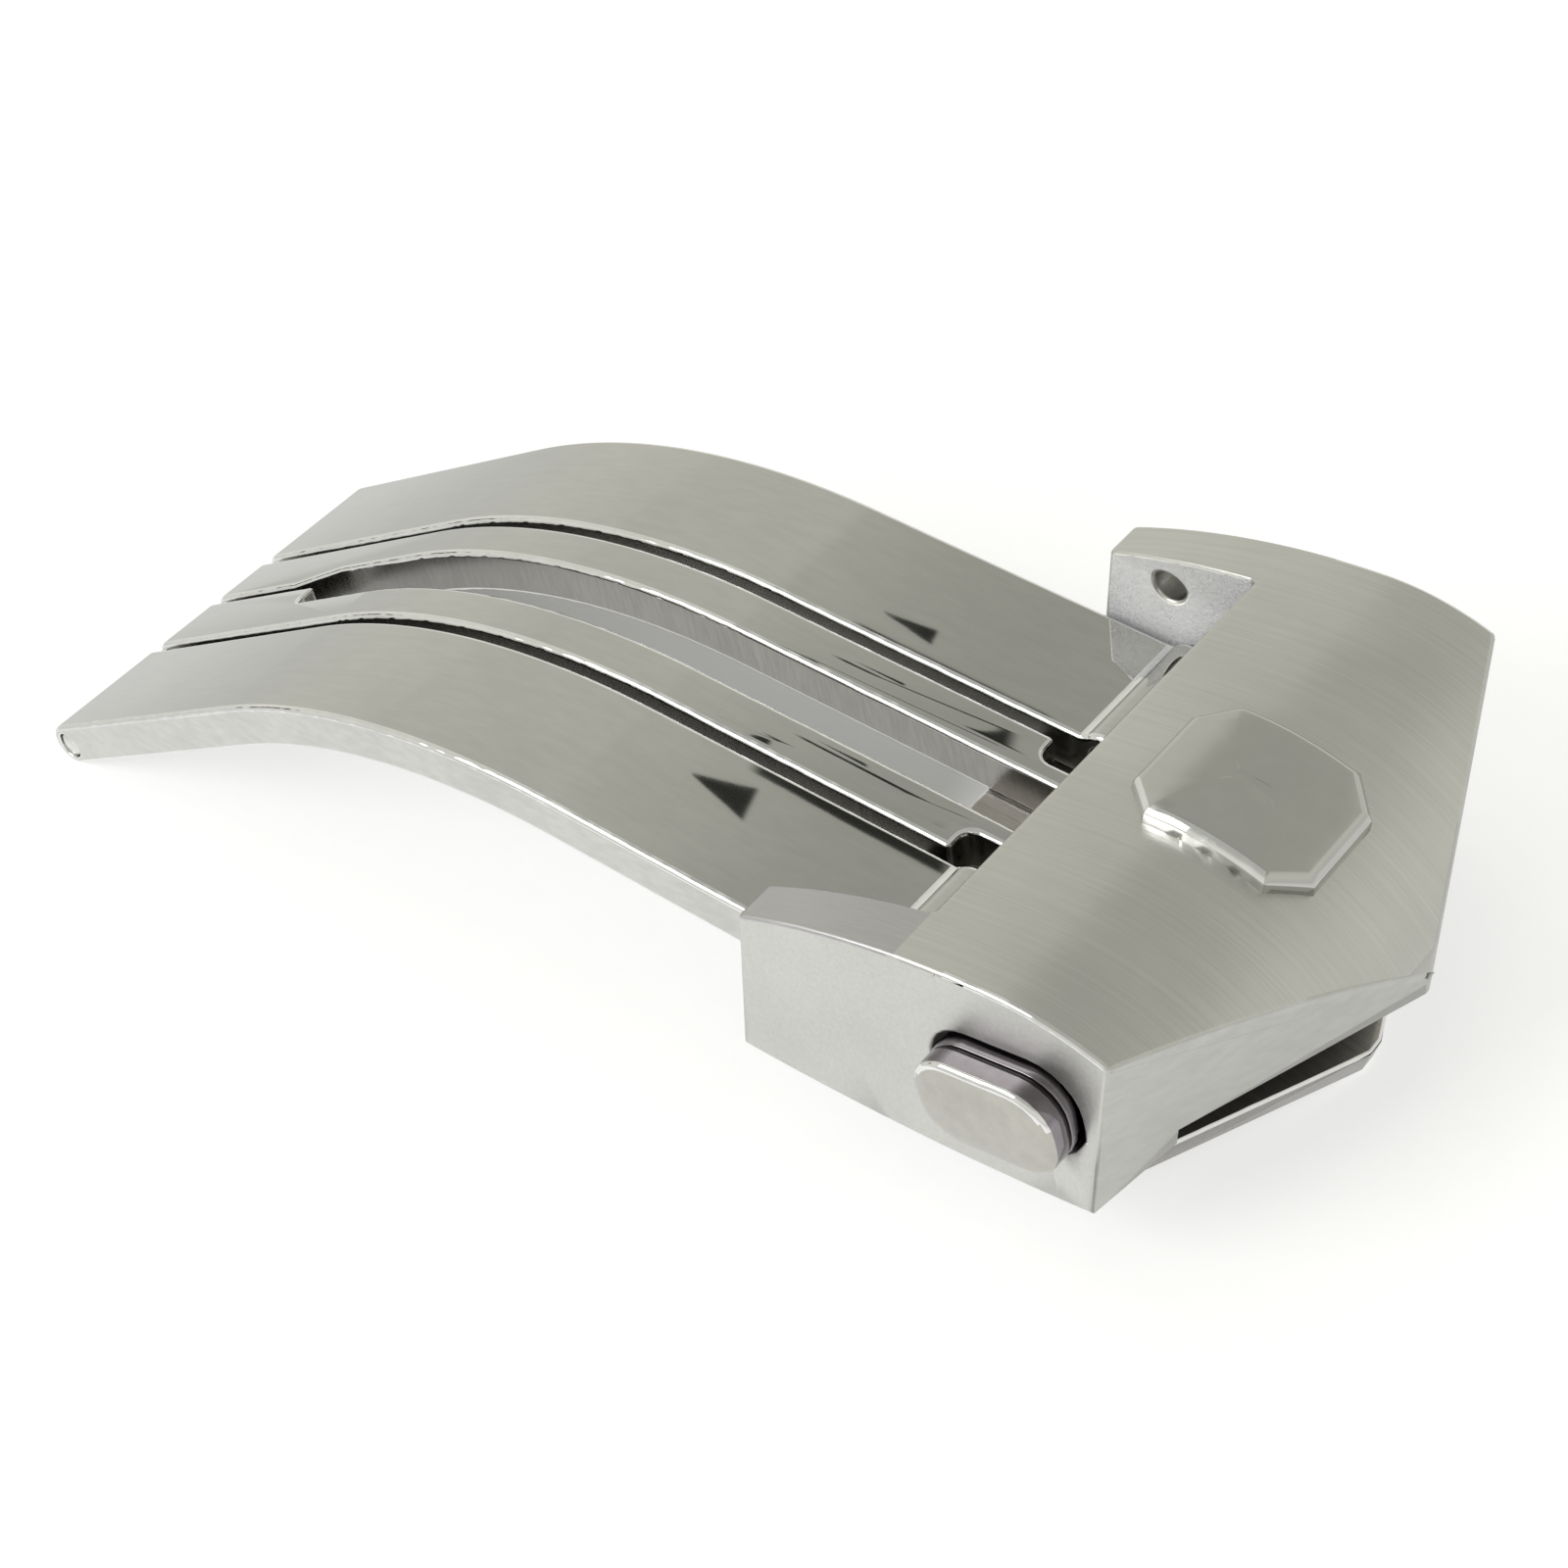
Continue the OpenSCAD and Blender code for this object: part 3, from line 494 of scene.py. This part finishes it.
button_at = at_front(front_len + 6.11, 1.94)
button_gap, button_out, travel, flange_t, flange_lip = 0.15, 1.3, 1.0, 0.9, 0.5
flange_out = ear_in - 0.1
tab_y = flange_out - flange_t
mouth_x = cover_at.real + side_len - wall_t
mouth = [(mouth_x, -1), (60, -1), (60, mouth_z), (mouth_x, mouth_z)]
carve(cover, solid("mouth", mouth, -mouth_w / 2, mouth_w / 2),
      solid("button_hole", [button_at + p for p in button_outline(button_gap)], -20, 20))
bar_at = cover_at + complex(bar_u * cos(radians(tilt)) + bar_v * sin(radians(tilt)),
                            bar_v * cos(radians(tilt)) - bar_u * sin(radians(tilt)))
for side in (-1, 1):
    lo, hi = sorted((side * (tab_y - travel - 0.1), side * ear_in))
    carve(cover, solid("pocket", [button_at + p for p in button_outline(flange_lip + button_gap)], lo, hi))
    lo, hi = sorted((side * (ear_in - 0.5), side * (ear_in + bar_depth)))
    carve(cover, round_bar("bar_hole", bar_at, bar_r, lo, hi, 32))
    lo, hi = sorted((side * (ear_in - 0.5), side * (ear_in + stub_out)))
    carve(cover, round_bar("stub_hole", hinge_c, stub_r, lo, hi, 32))
brushed_steel = metal("brushed_steel", (0.615, 0.61, 0.58), (0.515, 0.51, 0.485), 0.33, (4.0, 0.045, 4.0),
                      0.0035, turn=tilt, fine=0.7, spread=0.12, streaks=0.25)
# The near ear's top: a darker, lilac copy of the brushed roof, painted shade where the ear's top curves down.
near_ear_painted_shade = metal("near_ear_painted_shade", (0.505, 0.495, 0.505), (0.425, 0.42, 0.425), 0.30, (1.2, 0.05, 1.2), 0.002,
                  turn=tilt)
front_satin = metal("front_satin", (0.53, 0.53, 0.505), (0.45, 0.45, 0.43), 0.34, (0.3, 1.2, 0.3), 0.0015,
                    streaks=0.2)
blasted_steel = metal("blasted_steel", (0.635, 0.635, 0.615), (0.53, 0.53, 0.515), 0.40, (0.13, 0.13, 0.13),
                      0.008)
# The ears' inner faces: blasted grain on a white, mostly non-metallic base, painted light that makes the
# faces bright and sparkly.
painted_sparkle_steel = metal("painted_sparkle_steel", (1.0, 1.0, 1.0), (0.74, 0.74, 0.80), 0.30, (0.14, 0.14, 0.14), 0.075,
                      fine=0.85, spread=0.35, bare=0.25)
# Near black: painted shade on the faces under and inside the cover's front.
inside_painted_shade = metal("inside_painted_shade", (0.085, 0.08, 0.085), (0.05, 0.047, 0.05), 0.34, (0.2, 0.2, 0.2), 0.002)
to_cover = cover_frame.inverted()


def cover_finish(centre, normal):
    """Brushed roof, painted shade on the near ear's top, blasted walls, painted light on the ears' inner
    faces, satin front and painted shade under and inside the front.
    """
    at = to_cover @ centre
    faces_way = to_cover.to_3x3() @ normal
    if at.x > side_len - 1.3 and (faces_way.z < -0.2 or faces_way.x < -0.3
                                  or abs(normal.y) > 0.9 and abs(at.y) < mouth_w / 2 + 0.1):
        return 5
    if normal.z > 0.35 and abs(normal.y) < 0.3 and centre.z > 5.5:
        return 0 if at.x > roof_u or at.y > 0 else 1
    if abs(normal.y) > 0.8 and abs(at.y) < ear_in + 0.1 and at.x < roof_u:
        return 3
    return 4 if at.x > side_len - 0.1 and normal.x > 0.3 and abs(at.y) < ear_out - 0.02 else 2


def cover_edge(centre, normal):
    """A painted highlight along the walls' upper edges from half way to the front corners, painted shade on
    the near ear's edges and on edges that face down at the front, and soft elsewhere.
    """
    at = to_cover @ centre
    if normal.z > 0.2 and at.z > 3:
        if abs(at.y) > ear_out - 0.25 and 7.5 < at.x < side_len - 0.1:
            return 6
        return 1 if at.x < roof_u - 0.1 and at.y < 0 else 0 if normal.z > 0.5 or at.x < roof_u + 0.3 else 4
    if (to_cover.to_3x3() @ normal).z < -0.45 and at.x > side_len - 0.3:
        return 5
    return 4 if at.x > side_len - 0.1 else 2


def cover_break(mid):
    """No break on the cover's lower edges and round its mouth, and a full one elsewhere."""
    at = to_cover @ mid
    return 0 if at.z < (5.1 if at.x > side_len - 1.6 else 2.6) else 1


settle(cover, "cover", ["cover"],
       [brushed_steel, near_ear_painted_shade, blasted_steel, painted_sparkle_steel, front_satin, inside_painted_shade, edge_highlight_steel],
       cover_finish, edge=0.15, steps=3, pick_edge=cover_edge, weigh=cover_break)

# Badge plate: a raised plate of polished steel on the roof. It is a plain plate with four cut corners and a
# broken edge, and its top follows the roof's curve.
badge_len, badge_w, badge_h, badge_cut, badge_a = 6.3, 5.3, 0.618, 1.1, 2.5
badge_frame = (cover_frame @ Matrix.Translation((nose_c.real, 0, nose_c.imag))
               @ Matrix.Rotation(radians(badge_a), 4, "Y"))
crown_at = (crown_c - nose_c) * way(badge_a)


def roof_at(x, over):
    """Height of the roof, or of a layer over it, in the badge's own frame."""
    a = radians(90 + nose_a + badge_a)
    if x > (nose_r + over) * cos(a):
        return sqrt((nose_r + over) ** 2 - x * x)
    return crown_at.imag + sqrt((crown_r + over) ** 2 - (x - crown_at.real) ** 2)


mid_at, across_n, seat_lap = 0.3, 12, 0.02
low, mid, high = (roof_at(x, badge_h) for x in (-badge_len / 2, mid_at, badge_len / 2))
bend = ((high - mid) / (badge_len / 2 - mid_at) - (low - mid) / (-badge_len / 2 - mid_at)) / badge_len
rise = (low - mid) / (-badge_len / 2 - mid_at) - bend * (-badge_len / 2 - mid_at)
verts = []
for inset, drop in ((0.0, None), (0.0, 0.30), (0.03, 0.23), (0.09, 0.15), (0.17, 0.075), (0.26, 0.02),
                    (0.34, 0.0), (0.7, 0.0), (1.2, 0.0), (1.7, 0.0), (2.1, 0.0), (2.45, 0.0)):
    l, w = badge_len / 2 - inset, badge_w / 2 - inset
    c = max(0.04, badge_cut - 0.586 * inset)
    corners = [(-l, -w + c), (-l + c, -w), (l - c, -w), (l, -w + c),
               (l, w - c), (l - c, w), (-l + c, w), (-l, w - c)]
    for i, (x0, y0) in enumerate(corners):
        x1, y1 = corners[(i + 1) % 8]
        for k in range(across_n):
            x, y = x0 + (x1 - x0) * k / across_n, y0 + (y1 - y0) * k / across_n
            top_z = mid + rise * (x - mid_at) + bend * (x - mid_at) ** 2
            verts.append((x, y, roof_at(x, 0) - seat_lap if drop is None else top_z - drop))
badge = stacked("badge_plate_piece", verts, 8 * across_n, badge_frame)
badge_steel = metal("badge_steel", (0.53, 0.53, 0.505), (0.50, 0.50, 0.475), 0.13, (0.8, 0.8, 0.8), 0.00005,
                    spread=0.03)
# The sides that face the near left get the bright edge steel, a painted highlight; the others keep the
# badge's steel.
settle(badge, "cover", ["badge_plate"], [badge_steel, edge_highlight_steel],
       lambda c, n: 1 if n.y < -0.35 and n.x < 0.45 else 0, edge=0)

# Push buttons: turned and milled pushers of polished steel. Each has a collar at the wall, a groove, a cap
# with a rounded rim and a domed face, and a flange behind the wall that keeps it in. The collar is darkened
# with a painted reflection, the groove with painted shade, and the cap's upper rim carries a painted
# highlight.
button_steel = metal("button_steel", (0.50, 0.49, 0.45), (0.42, 0.41, 0.38), 0.10, (0.6, 0.3, 0.6), 0.0002,
                     spread=0.04, waves=0.012, wave_size=1.9)
# Dark purple collar: polished steel darkened as a painted dark reflection.
collar_painted_reflection = metal("collar_painted_reflection", (0.27, 0.25, 0.27), (0.20, 0.185, 0.20), 0.10, (0.6, 0.3, 0.6), 0.0002,
                     spread=0.04)
# Near black: painted shade in the groove.
groove_painted_shade = metal("groove_painted_shade", (0.05, 0.045, 0.045), (0.03, 0.028, 0.03), 0.35, (0.3, 0.3, 0.3), 0.001)
button_end = ear_out + button_out
groove_y0, groove_y1, groove_d = 0.29, 0.43, 0.17


def rings(name, centre, rows):
    """A piece stacked across the clasp from rows of (grow, y) of the button's outline."""
    verts = [((centre + p).real, y, (centre + p).imag) for grow, y in rows for p in button_outline(grow)]
    return stacked(name, verts, len(verts) // len(rows))


def button_finish(centre, normal):
    """Painted shade in the groove, a collar darkened with a painted reflection, polished cap and a painted
    highlight on its upper rim.
    """
    out = abs(centre.y)
    if ear_out + groove_y0 - 0.01 < out < ear_out + groove_y1 + 0.03:
        return 1
    if out < button_end - 0.25:
        return 0
    return 3 if out < button_end - 0.13 and normal.z > 0.2 else 2


rows = [(flange_lip, -tab_y), (flange_lip, -flange_out), (0, -flange_out)] + [
    (grow, -ear_out - y) for grow, y in (
        (0, 0.24), (-0.05, groove_y0), (-groove_d, groove_y0), (-groove_d, groove_y1), (-0.06, groove_y1),
        (-0.02, 0.47))] + [
    (grow, y - button_end) for grow, y in (
        (-0.02, 0.28), (-0.05, 0.21), (-0.12, 0.155), (-0.22, 0.12), (-0.36, 0.09), (-0.52, 0.066),
        (-0.70, 0.045), (-0.92, 0.022), (-1.15, 0.006), (-1.35, 0))]
near_button = rings("near_button_piece", button_at, rows)
far_button = mirrored(near_button, "far_button_piece")
for piece, node in ((near_button, "near_button"), (far_button, "far_button")):
    settle(piece, node, [node], [collar_painted_reflection, groove_painted_shade, button_steel, edge_highlight_steel],
           button_finish, edge=0)

# Rivets and screws: two round rivets hold the strap plate, and small slotted screws hold the catch, the
# housing and the hooks. All are turned from steel wire, and the rivets' ends are hammered round.
plate_k = -barrel_r - plate_t
catch_s, catch_l, catch_base, tab_t, screw_reach, head_r, head_t = 3.8, 2.8, 0.6, 0.8, 1.4, 0.7, 0.35
catch_at = front_len + catch_s
stand = Matrix(((1, 0, 0, 0), (0, 0, -1, 0), (0, 1, 0, 0), (0, 0, 0, 1)))


def screw(name, length, place):
    """A slotted screw from its tip up, with its head on top."""
    end = length + head_t
    blank = lathe(name, 0j, [(0.12, 0), (0.22, 0.02), (screw_r, 0.2), (screw_r, length),
                             (head_r, length + 0.001), (head_r, end - 0.1), (head_r - 0.03, end - 0.04),
                             (head_r - 0.1, end - 0.005), (0.1, end)], 32)
    slot = [(-0.1, length + head_t / 2), (0.1, length + head_t / 2), (0.1, length + 1), (-0.1, length + 1)]
    carve(blank, solid("slot", slot, -2, 2))
    blank.data.transform(place @ stand)
    return blank


def node_tree(name, kinds, inputs, output):
    """A geometry node tree with its group input and output, its other nodes and its named sockets."""
    tree = bpy.data.node_groups.new(name, "GeometryNodeTree")
    for label, kind in inputs:
        tree.interface.new_socket(name=label, in_out="INPUT", socket_type="NodeSocket" + kind)
    tree.interface.new_socket(name=output, in_out="OUTPUT", socket_type="NodeSocketGeometry")
    nodes = [tree.nodes.new("NodeGroup" + end) for end in ("Input", "Output")]
    return tree, nodes + [tree.nodes.new("GeometryNode" + kind) for kind in kinds]


def grown(piece_name, verts, edges, tree, values):
    """A piece that a node tree makes on points and edges, turned into a plain mesh."""
    mesh = bpy.data.meshes.new(piece_name)
    mesh.from_pydata(verts, edges, [])
    piece = bpy.data.objects.new(piece_name, mesh)
    bpy.context.scene.collection.objects.link(piece)
    m = piece.modifiers.new("grown", "NODES")
    m.node_group = tree
    for socket in tree.interface.items_tree:
        if socket.in_out == "INPUT" and socket.name in values:
            m[socket.identifier] = values[socket.name]
    return bake(piece)


def repeated(name, unit, places):
    """Copies of a piece at a list of places."""
    tree, (start, end, info, copies, real, steel) = node_tree(
        name, ("ObjectInfo", "InstanceOnPoints", "RealizeInstances", "SetMaterial"),
        (("Places", "Geometry"), ("Piece", "Object"), ("Steel", "Material")), "Copies")
    for a, b in ((start.outputs["Places"], copies.inputs["Points"]),
                 (start.outputs["Piece"], info.inputs["Object"]),
                 (info.outputs["Geometry"], copies.inputs["Instance"]),
                 (copies.outputs["Instances"], real.inputs["Geometry"]),
                 (real.outputs["Geometry"], steel.inputs["Geometry"]),
                 (start.outputs["Steel"], steel.inputs["Material"]),
                 (steel.outputs["Geometry"], end.inputs["Copies"])):
        tree.links.new(a, b)
    piece = grown(name, places, [], tree, {"Piece": unit, "Steel": pin_steel})
    bpy.data.objects.remove(unit)
    return piece


rivet = lathe("rivet", 0j, [(0.12, plate_k), (0.36, plate_k + 0.03), (rivet_r, plate_k + 0.12),
                            (rivet_r, barrel_r - 0.12), (0.36, barrel_r - 0.03), (0.12, barrel_r)], 32)
rivet.data.transform(stand)
rivet_s, rivet_y, catch_screw_y, house_screw_y = 0.75, 0.9, 1.3, 2.0
in_plate = plate_t * 0.75
rivets = repeated("plate_rivets_piece", rivet, [(mid_end - rivet_s, y, 0) for y in (-rivet_y, rivet_y)])
catch_screws = repeated(
    "catch_screws_piece", screw("catch_screw", in_plate + catch_base, Matrix()),
    [(catch_at + catch_l / 2, y, -barrel_r - in_plate) for y in (-catch_screw_y, catch_screw_y)])
for piece, node in ((rivets, "plate_rivets"), (catch_screws, "catch_screws")):
    piece.data.transform(front_frame)
    settle(piece, "inner_blade", [node], [pin_steel], lambda c, n: 0, edge=0)
tooth_k, tooth_t, tooth_gap, catch_bar, hook_gap, hook_w, hook_t = 1.0, 0.5, 0.05, 0.45, 0.15, 1.3, 0.9
spring_back, spring_up, house_skin = 1.85, 1.2, 0.41
hook_s = catch_at + (catch_l - hook_w) / 2
seat = tooth_k + tooth_t + tooth_gap + catch_bar + hook_gap + hook_t + 0.1 + head_t
spring_s = hook_s + hook_w + spring_back
spring_at = at_front(spring_s, tooth_k + spring_up)
roof_line = [front_frame.inverted() @ cover_frame @ Vector((p.real, 0, p.imag)) for p in crown(0)]
hole_top = next(a.z + (b.z - a.z) * (spring_s - a.x) / (b.x - a.x) for a, b in zip(roof_line, roof_line[1:])
                if a.x <= spring_s <= b.x) - house_skin
over = Matrix.Translation((0, 0, hole_top)) @ Matrix.Rotation(pi, 4, "X")
housing_screws = repeated("housing_screws_piece", screw("housing_screw", hole_top - seat, over),
                          [(spring_s, y, 0) for y in (-house_screw_y, house_screw_y)])
housing_screws.data.transform(front_frame)
settle(housing_screws, "cover", ["housing_screws"], [pin_steel], lambda c, n: 0, edge=0)
inward = (Matrix.Translation((button_at.real, -tab_y - screw_reach, button_at.imag))
          @ Matrix.Rotation(-pi / 2, 4, "X"))
hook_screw = screw("near_hook_screw_piece", screw_reach + tab_t, inward)
for piece, side in ((hook_screw, "near"), (mirrored(hook_screw, "far_hook_screw_piece"), "far")):
    settle(piece, side + "_button", [side + "_hook_screw"], [pin_steel], lambda c, n: 0, edge=0)

# Strap peg: a turned mushroom peg riveted into the plate. The strap's hole is pressed over its round head and
# sits round its waist.
peg_line = [(0.3, -2.2), (0.7, -2.17), (0.98, -2.08), (1.11, -1.96), (1.15, -1.84), (1.12, -1.74),
            (1.02, -1.66), (0.85, -1.61), (0.72, -1.52), (0.66, -1.3), (0.64, -0.9), (0.66, -0.4),
            (0.72, -0.1), (peg_r, 0), (0.6, 0.001), (0.6, plate_t - 0.08), (0.5, plate_t)]
peg = lathe("strap_peg_piece", 0j, peg_line)
peg.data.transform(front_frame @ Matrix.Translation((peg_s, 0, plate_k)) @ stand)
settle(peg, "inner_blade", ["strap_peg"], [mirror_steel], lambda c, n: 0, edge=0)

# Catch, housing and hooks: small parts milled from bar. The catch is a channel whose windows hold the hooks'
# teeth, the housing guides the hooks under the roof, and each hook is an arm, a leg and a tooth.
small_steel = metal("small_steel", (0.55, 0.55, 0.53), (0.43, 0.43, 0.415), 0.27, (0.9, 0.08, 0.3), 0.0015,
                    streaks=0.4)


def refined(node, body):
    """A milled piece from its CAD solid, with merged faces and broken edges that carry a painted highlight.
    """
    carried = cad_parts[node]
    mesh = carried.data.copy()
    mesh.transform(Matrix.Translation((mid_x, 0, 0)) @ Matrix.Scale(1000, 4) @ carried.matrix_world)
    edit = bmesh.new()
    edit.from_mesh(mesh)
    bmesh.ops.remove_doubles(edit, verts=edit.verts, dist=1e-4)
    bmesh.ops.dissolve_limit(edit, angle_limit=radians(1), verts=edit.verts, edges=edit.edges)
    edit.to_mesh(mesh)
    edit.free()
    piece = bpy.data.objects.new(node + "_piece", mesh)
    bpy.context.scene.collection.objects.link(piece)
    settle(piece, body, [node], [small_steel, edge_highlight_steel], lambda c, n: 0, edge=0.05)


for node, body in (("catch_bracket", "inner_blade"), ("latch_housing", "cover"), ("near_hook", "near_button"),
                   ("far_hook", "far_button")):
    refined(node, body)

# Return springs: coils of spring wire with closed ends between the housing and the hooks' tabs. They push the
# buttons out.
spring_steel = metal("spring_steel", (0.50, 0.49, 0.48), (0.36, 0.355, 0.35), 0.25, (0.5, 0.5, 0.5), 0.001)
coil, (start, end, line, wire_round, swept, real, steel) = node_tree(
    "coil", ("MeshToCurve", "CurvePrimitiveCircle", "CurveToMesh", "RealizeInstances", "SetMaterial"),
    (("Path", "Geometry"), ("Wire", "Float"), ("Steel", "Material")), "Coil")
wire_round.inputs["Resolution"].default_value = 12
swept.inputs["Fill Caps"].default_value = True
for a, b in ((start.outputs["Path"], line.inputs["Mesh"]),
             (start.outputs["Wire"], wire_round.inputs["Radius"]),
             (line.outputs["Curve"], swept.inputs["Curve"]),
             (wire_round.outputs["Curve"], swept.inputs["Profile Curve"]),
             (swept.outputs["Mesh"], real.inputs["Geometry"]),
             (real.outputs["Geometry"], steel.inputs["Geometry"]),
             (start.outputs["Steel"], steel.inputs["Material"]),
             (steel.outputs["Geometry"], end.inputs["Coil"])):
    coil.links.new(a, b)
house_y, spring_r, wire, turns = 5.2, 0.6, 0.22, 5
y0, y1, coil_r, per_turn = house_y + wire / 2, tab_y - tab_t - wire / 2, spring_r - wire / 2, 24
for side, out in (("near", -1), ("far", 1)):
    path = []
    for i in range(turns * per_turn + 1):
        a = 2 * pi * i / per_turn
        rise = min(max((i / per_turn - 0.5) / (turns - 1), 0), 1)
        path.append((spring_at.real + coil_r * cos(a), out * (y0 + (y1 - y0) * rise),
                     spring_at.imag + coil_r * sin(a)))
    piece = grown(side + "_spring_piece", path, [(i, i + 1) for i in range(len(path) - 1)], coil,
                  {"Wire": wire / 2, "Steel": spring_steel})
    settle(piece, "cover", [side + "_spring"], [spring_steel], lambda c, n: 0, edge=0)
    side + "_press"
    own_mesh(piece)

# Table, light and camera: a plain white table under soft daylight, with a painted shadow under the clasp,
# seen from the near right corner. The steel reflects only the part of the table next to the clasp.
(x0, x3), (y0, y3) = (-0.4, 0.4), (-0.4, 0.4)
(x1, x2), (y1, y2) = (-0.03, 0.045), (-0.045, 0.010)
sheet = [(x, y, -0.00002) for y in (y0, y1, y2, y3) for x in (x0, x1, x2, x3)]
cells = [(i, j, [4 * j + i, 4 * j + i + 1, 4 * j + i + 5, 4 * j + i + 4]) for j in range(3) for i in range(3)]
table = made("table", sheet, [cell for i, j, cell in cells if (i, j) != (1, 1)])
near_table = made("near_table", sheet, [cell for i, j, cell in cells if (i, j) == (1, 1)])
table.visible_glossy = False
white = bpy.data.materials.new("table_white")
white.use_nodes = True
shader = white.node_tree.nodes["Principled BSDF"]
sh = Shade(white.node_tree)
on_table = sh.node("TexCoord", out="Object")
grain = sh.node("TexNoise", None, {"Vector": on_table, "Scale": 900.0, "Detail": 2.0}, "Fac")
whites = sh.node("Mix", {"data_type": "RGBA"},
                 {"Factor": grain, "A": (0.49, 0.49, 0.49, 1), "B": (0.52, 0.52, 0.52, 1)}, "Result")
white.node_tree.links.new(whites.socket, shader.inputs["Base Color"])
shader.inputs["Roughness"].default_value = 0.7
shader.inputs["Emission Color"].default_value = (1, 1, 1, 1)
under_x = sh.node("SeparateXYZ", None, {"Vector": on_table}, "X")
under_y = sh.node("SeparateXYZ", None, {"Vector": on_table}, "Y")
# Painted shadow: the table's glow is dimmed in a soft patch under the far arm, where the slot looks down on
# it.
painted_shadow = abs(under_x + 0.008).ease(0.019, 0.013) * abs(under_y - 0.0052).ease(0.0055, 0.0028)
white.node_tree.links.new((0.62 - painted_shadow * 0.50).socket, shader.inputs["Emission Strength"])
for part in (table, near_table):
    part.data.materials.append(white)

world = bpy.data.worlds.new("daylight")
bpy.context.scene.world = world
world.use_nodes = True
sky = Shade(world.node_tree)
heading = sky.node("TexCoord", out="Generated")
ahead_of = sky.node("SeparateXYZ", None, {"Vector": heading}, "X")
height = sky.node("SeparateXYZ", None, {"Vector": heading}, "Z")
sky_tones = [(0.0, (0.85, 0.85, 0.84)), (0.40, (0.95, 0.95, 0.93)), (0.428, (0.87, 0.87, 0.85)),
             (0.44, (0.74, 0.74, 0.71)), (0.50, (0.78, 0.78, 0.74)), (0.61, (0.86, 0.85, 0.78)),
             (0.71, (0.82, 0.82, 0.75)), (0.725, (0.79, 0.79, 0.73)), (0.86, (0.77, 0.77, 0.70)),
             (1.0, (0.72, 0.72, 0.68))]
tone = sky.node("ValToRGB", {"stops": sky_tones}, {"Fac": height * 0.5 + 0.5})
strength = 1.0 - 0.29 * (ahead_of.ease(-0.41, -0.29) * height.ease(0.5, 0.72))


def facing(direction):
    """How far the sky's heading lies along a direction."""
    return sky.node("VectorMath", {"operation": "DOT_PRODUCT"}, {0: heading, 1: direction}, "Value")


def card(start, end, wide_at_start, wide_at_end, soft):
    """A dark card that hangs round the table, a strip between two directions. The polished steel shows it."""
    start, end = Vector(start).normalized(), Vector(end).normalized()
    along, middle = (end - start).normalized(), (start + end).normalized()
    aside = middle.cross(along)
    t = (facing(along) - start.dot(along)) * (1 / (end - start).length)
    away = abs(facing(aside) - start.dot(aside))
    wide = t * (wide_at_end - wide_at_start) + wide_at_start
    ends = t.ease(-0.06, 0.04) * t.ease(1.06, 0.96)
    return (away / wide).ease(1.0, 1.0 - soft) * ends * facing(middle).ease(0.3, 0.4)


for dark in (card((-0.3598, 0.5013, 0.7870), (-0.3408, 0.5071, 0.7916), 0.0003, 0.0085, 0.1),
             card((-0.3374, 0.5615, 0.7556), (-0.3211, 0.5661, 0.7592), 0.0003, 0.0038, 0.1),
             card((-0.3455, 0.5194, 0.7815), (-0.2830, 0.5382, 0.7939), 0.0026, 0.0046, 0.15),
             card((-0.3409, 0.5501, 0.7623), (-0.2792, 0.5672, 0.7748), 0.0026, 0.0044, 0.15),
             card((-0.93, -0.16, 0.20), (-0.88, -0.34, 0.20), 0.10, 0.10, 0.6)):
    strength = strength * (1.0 - dark * 0.93)
background = world.node_tree.nodes["Background"]
world.node_tree.links.new(tone.socket, background.inputs["Color"])
world.node_tree.links.new(strength.socket, background.inputs["Strength"])
window_light = bpy.data.objects.new("near_window", bpy.data.lights.new("near_window", "AREA"))
window_light.data.energy, window_light.data.size = 0.62, 0.22
window_light.location = (-0.15, -0.28, 0.24)
window_light.rotation_euler = window_light.location.to_track_quat("Z", "Y").to_euler()
bpy.context.scene.collection.objects.link(window_light)

camera = bpy.data.objects.new("camera", bpy.data.cameras.new("camera"))
eye = (0.066746, -0.055185, 0.069362)
right, down, ahead = (0.7557, 0.61982, -0.21152), (0.27383, -0.59243, -0.75766), (-0.59493, 0.51464, -0.61743)
camera.matrix_world = Matrix([(right[i], -down[i], -ahead[i], eye[i]) for i in range(3)] + [(0, 0, 0, 1)])
camera.data.lens, camera.data.sensor_width, camera.data.clip_start = 72, 36, 0.005
bpy.context.scene.collection.objects.link(camera)
bpy.context.scene.camera = camera
bpy.context.scene.view_settings.view_transform = "Standard"
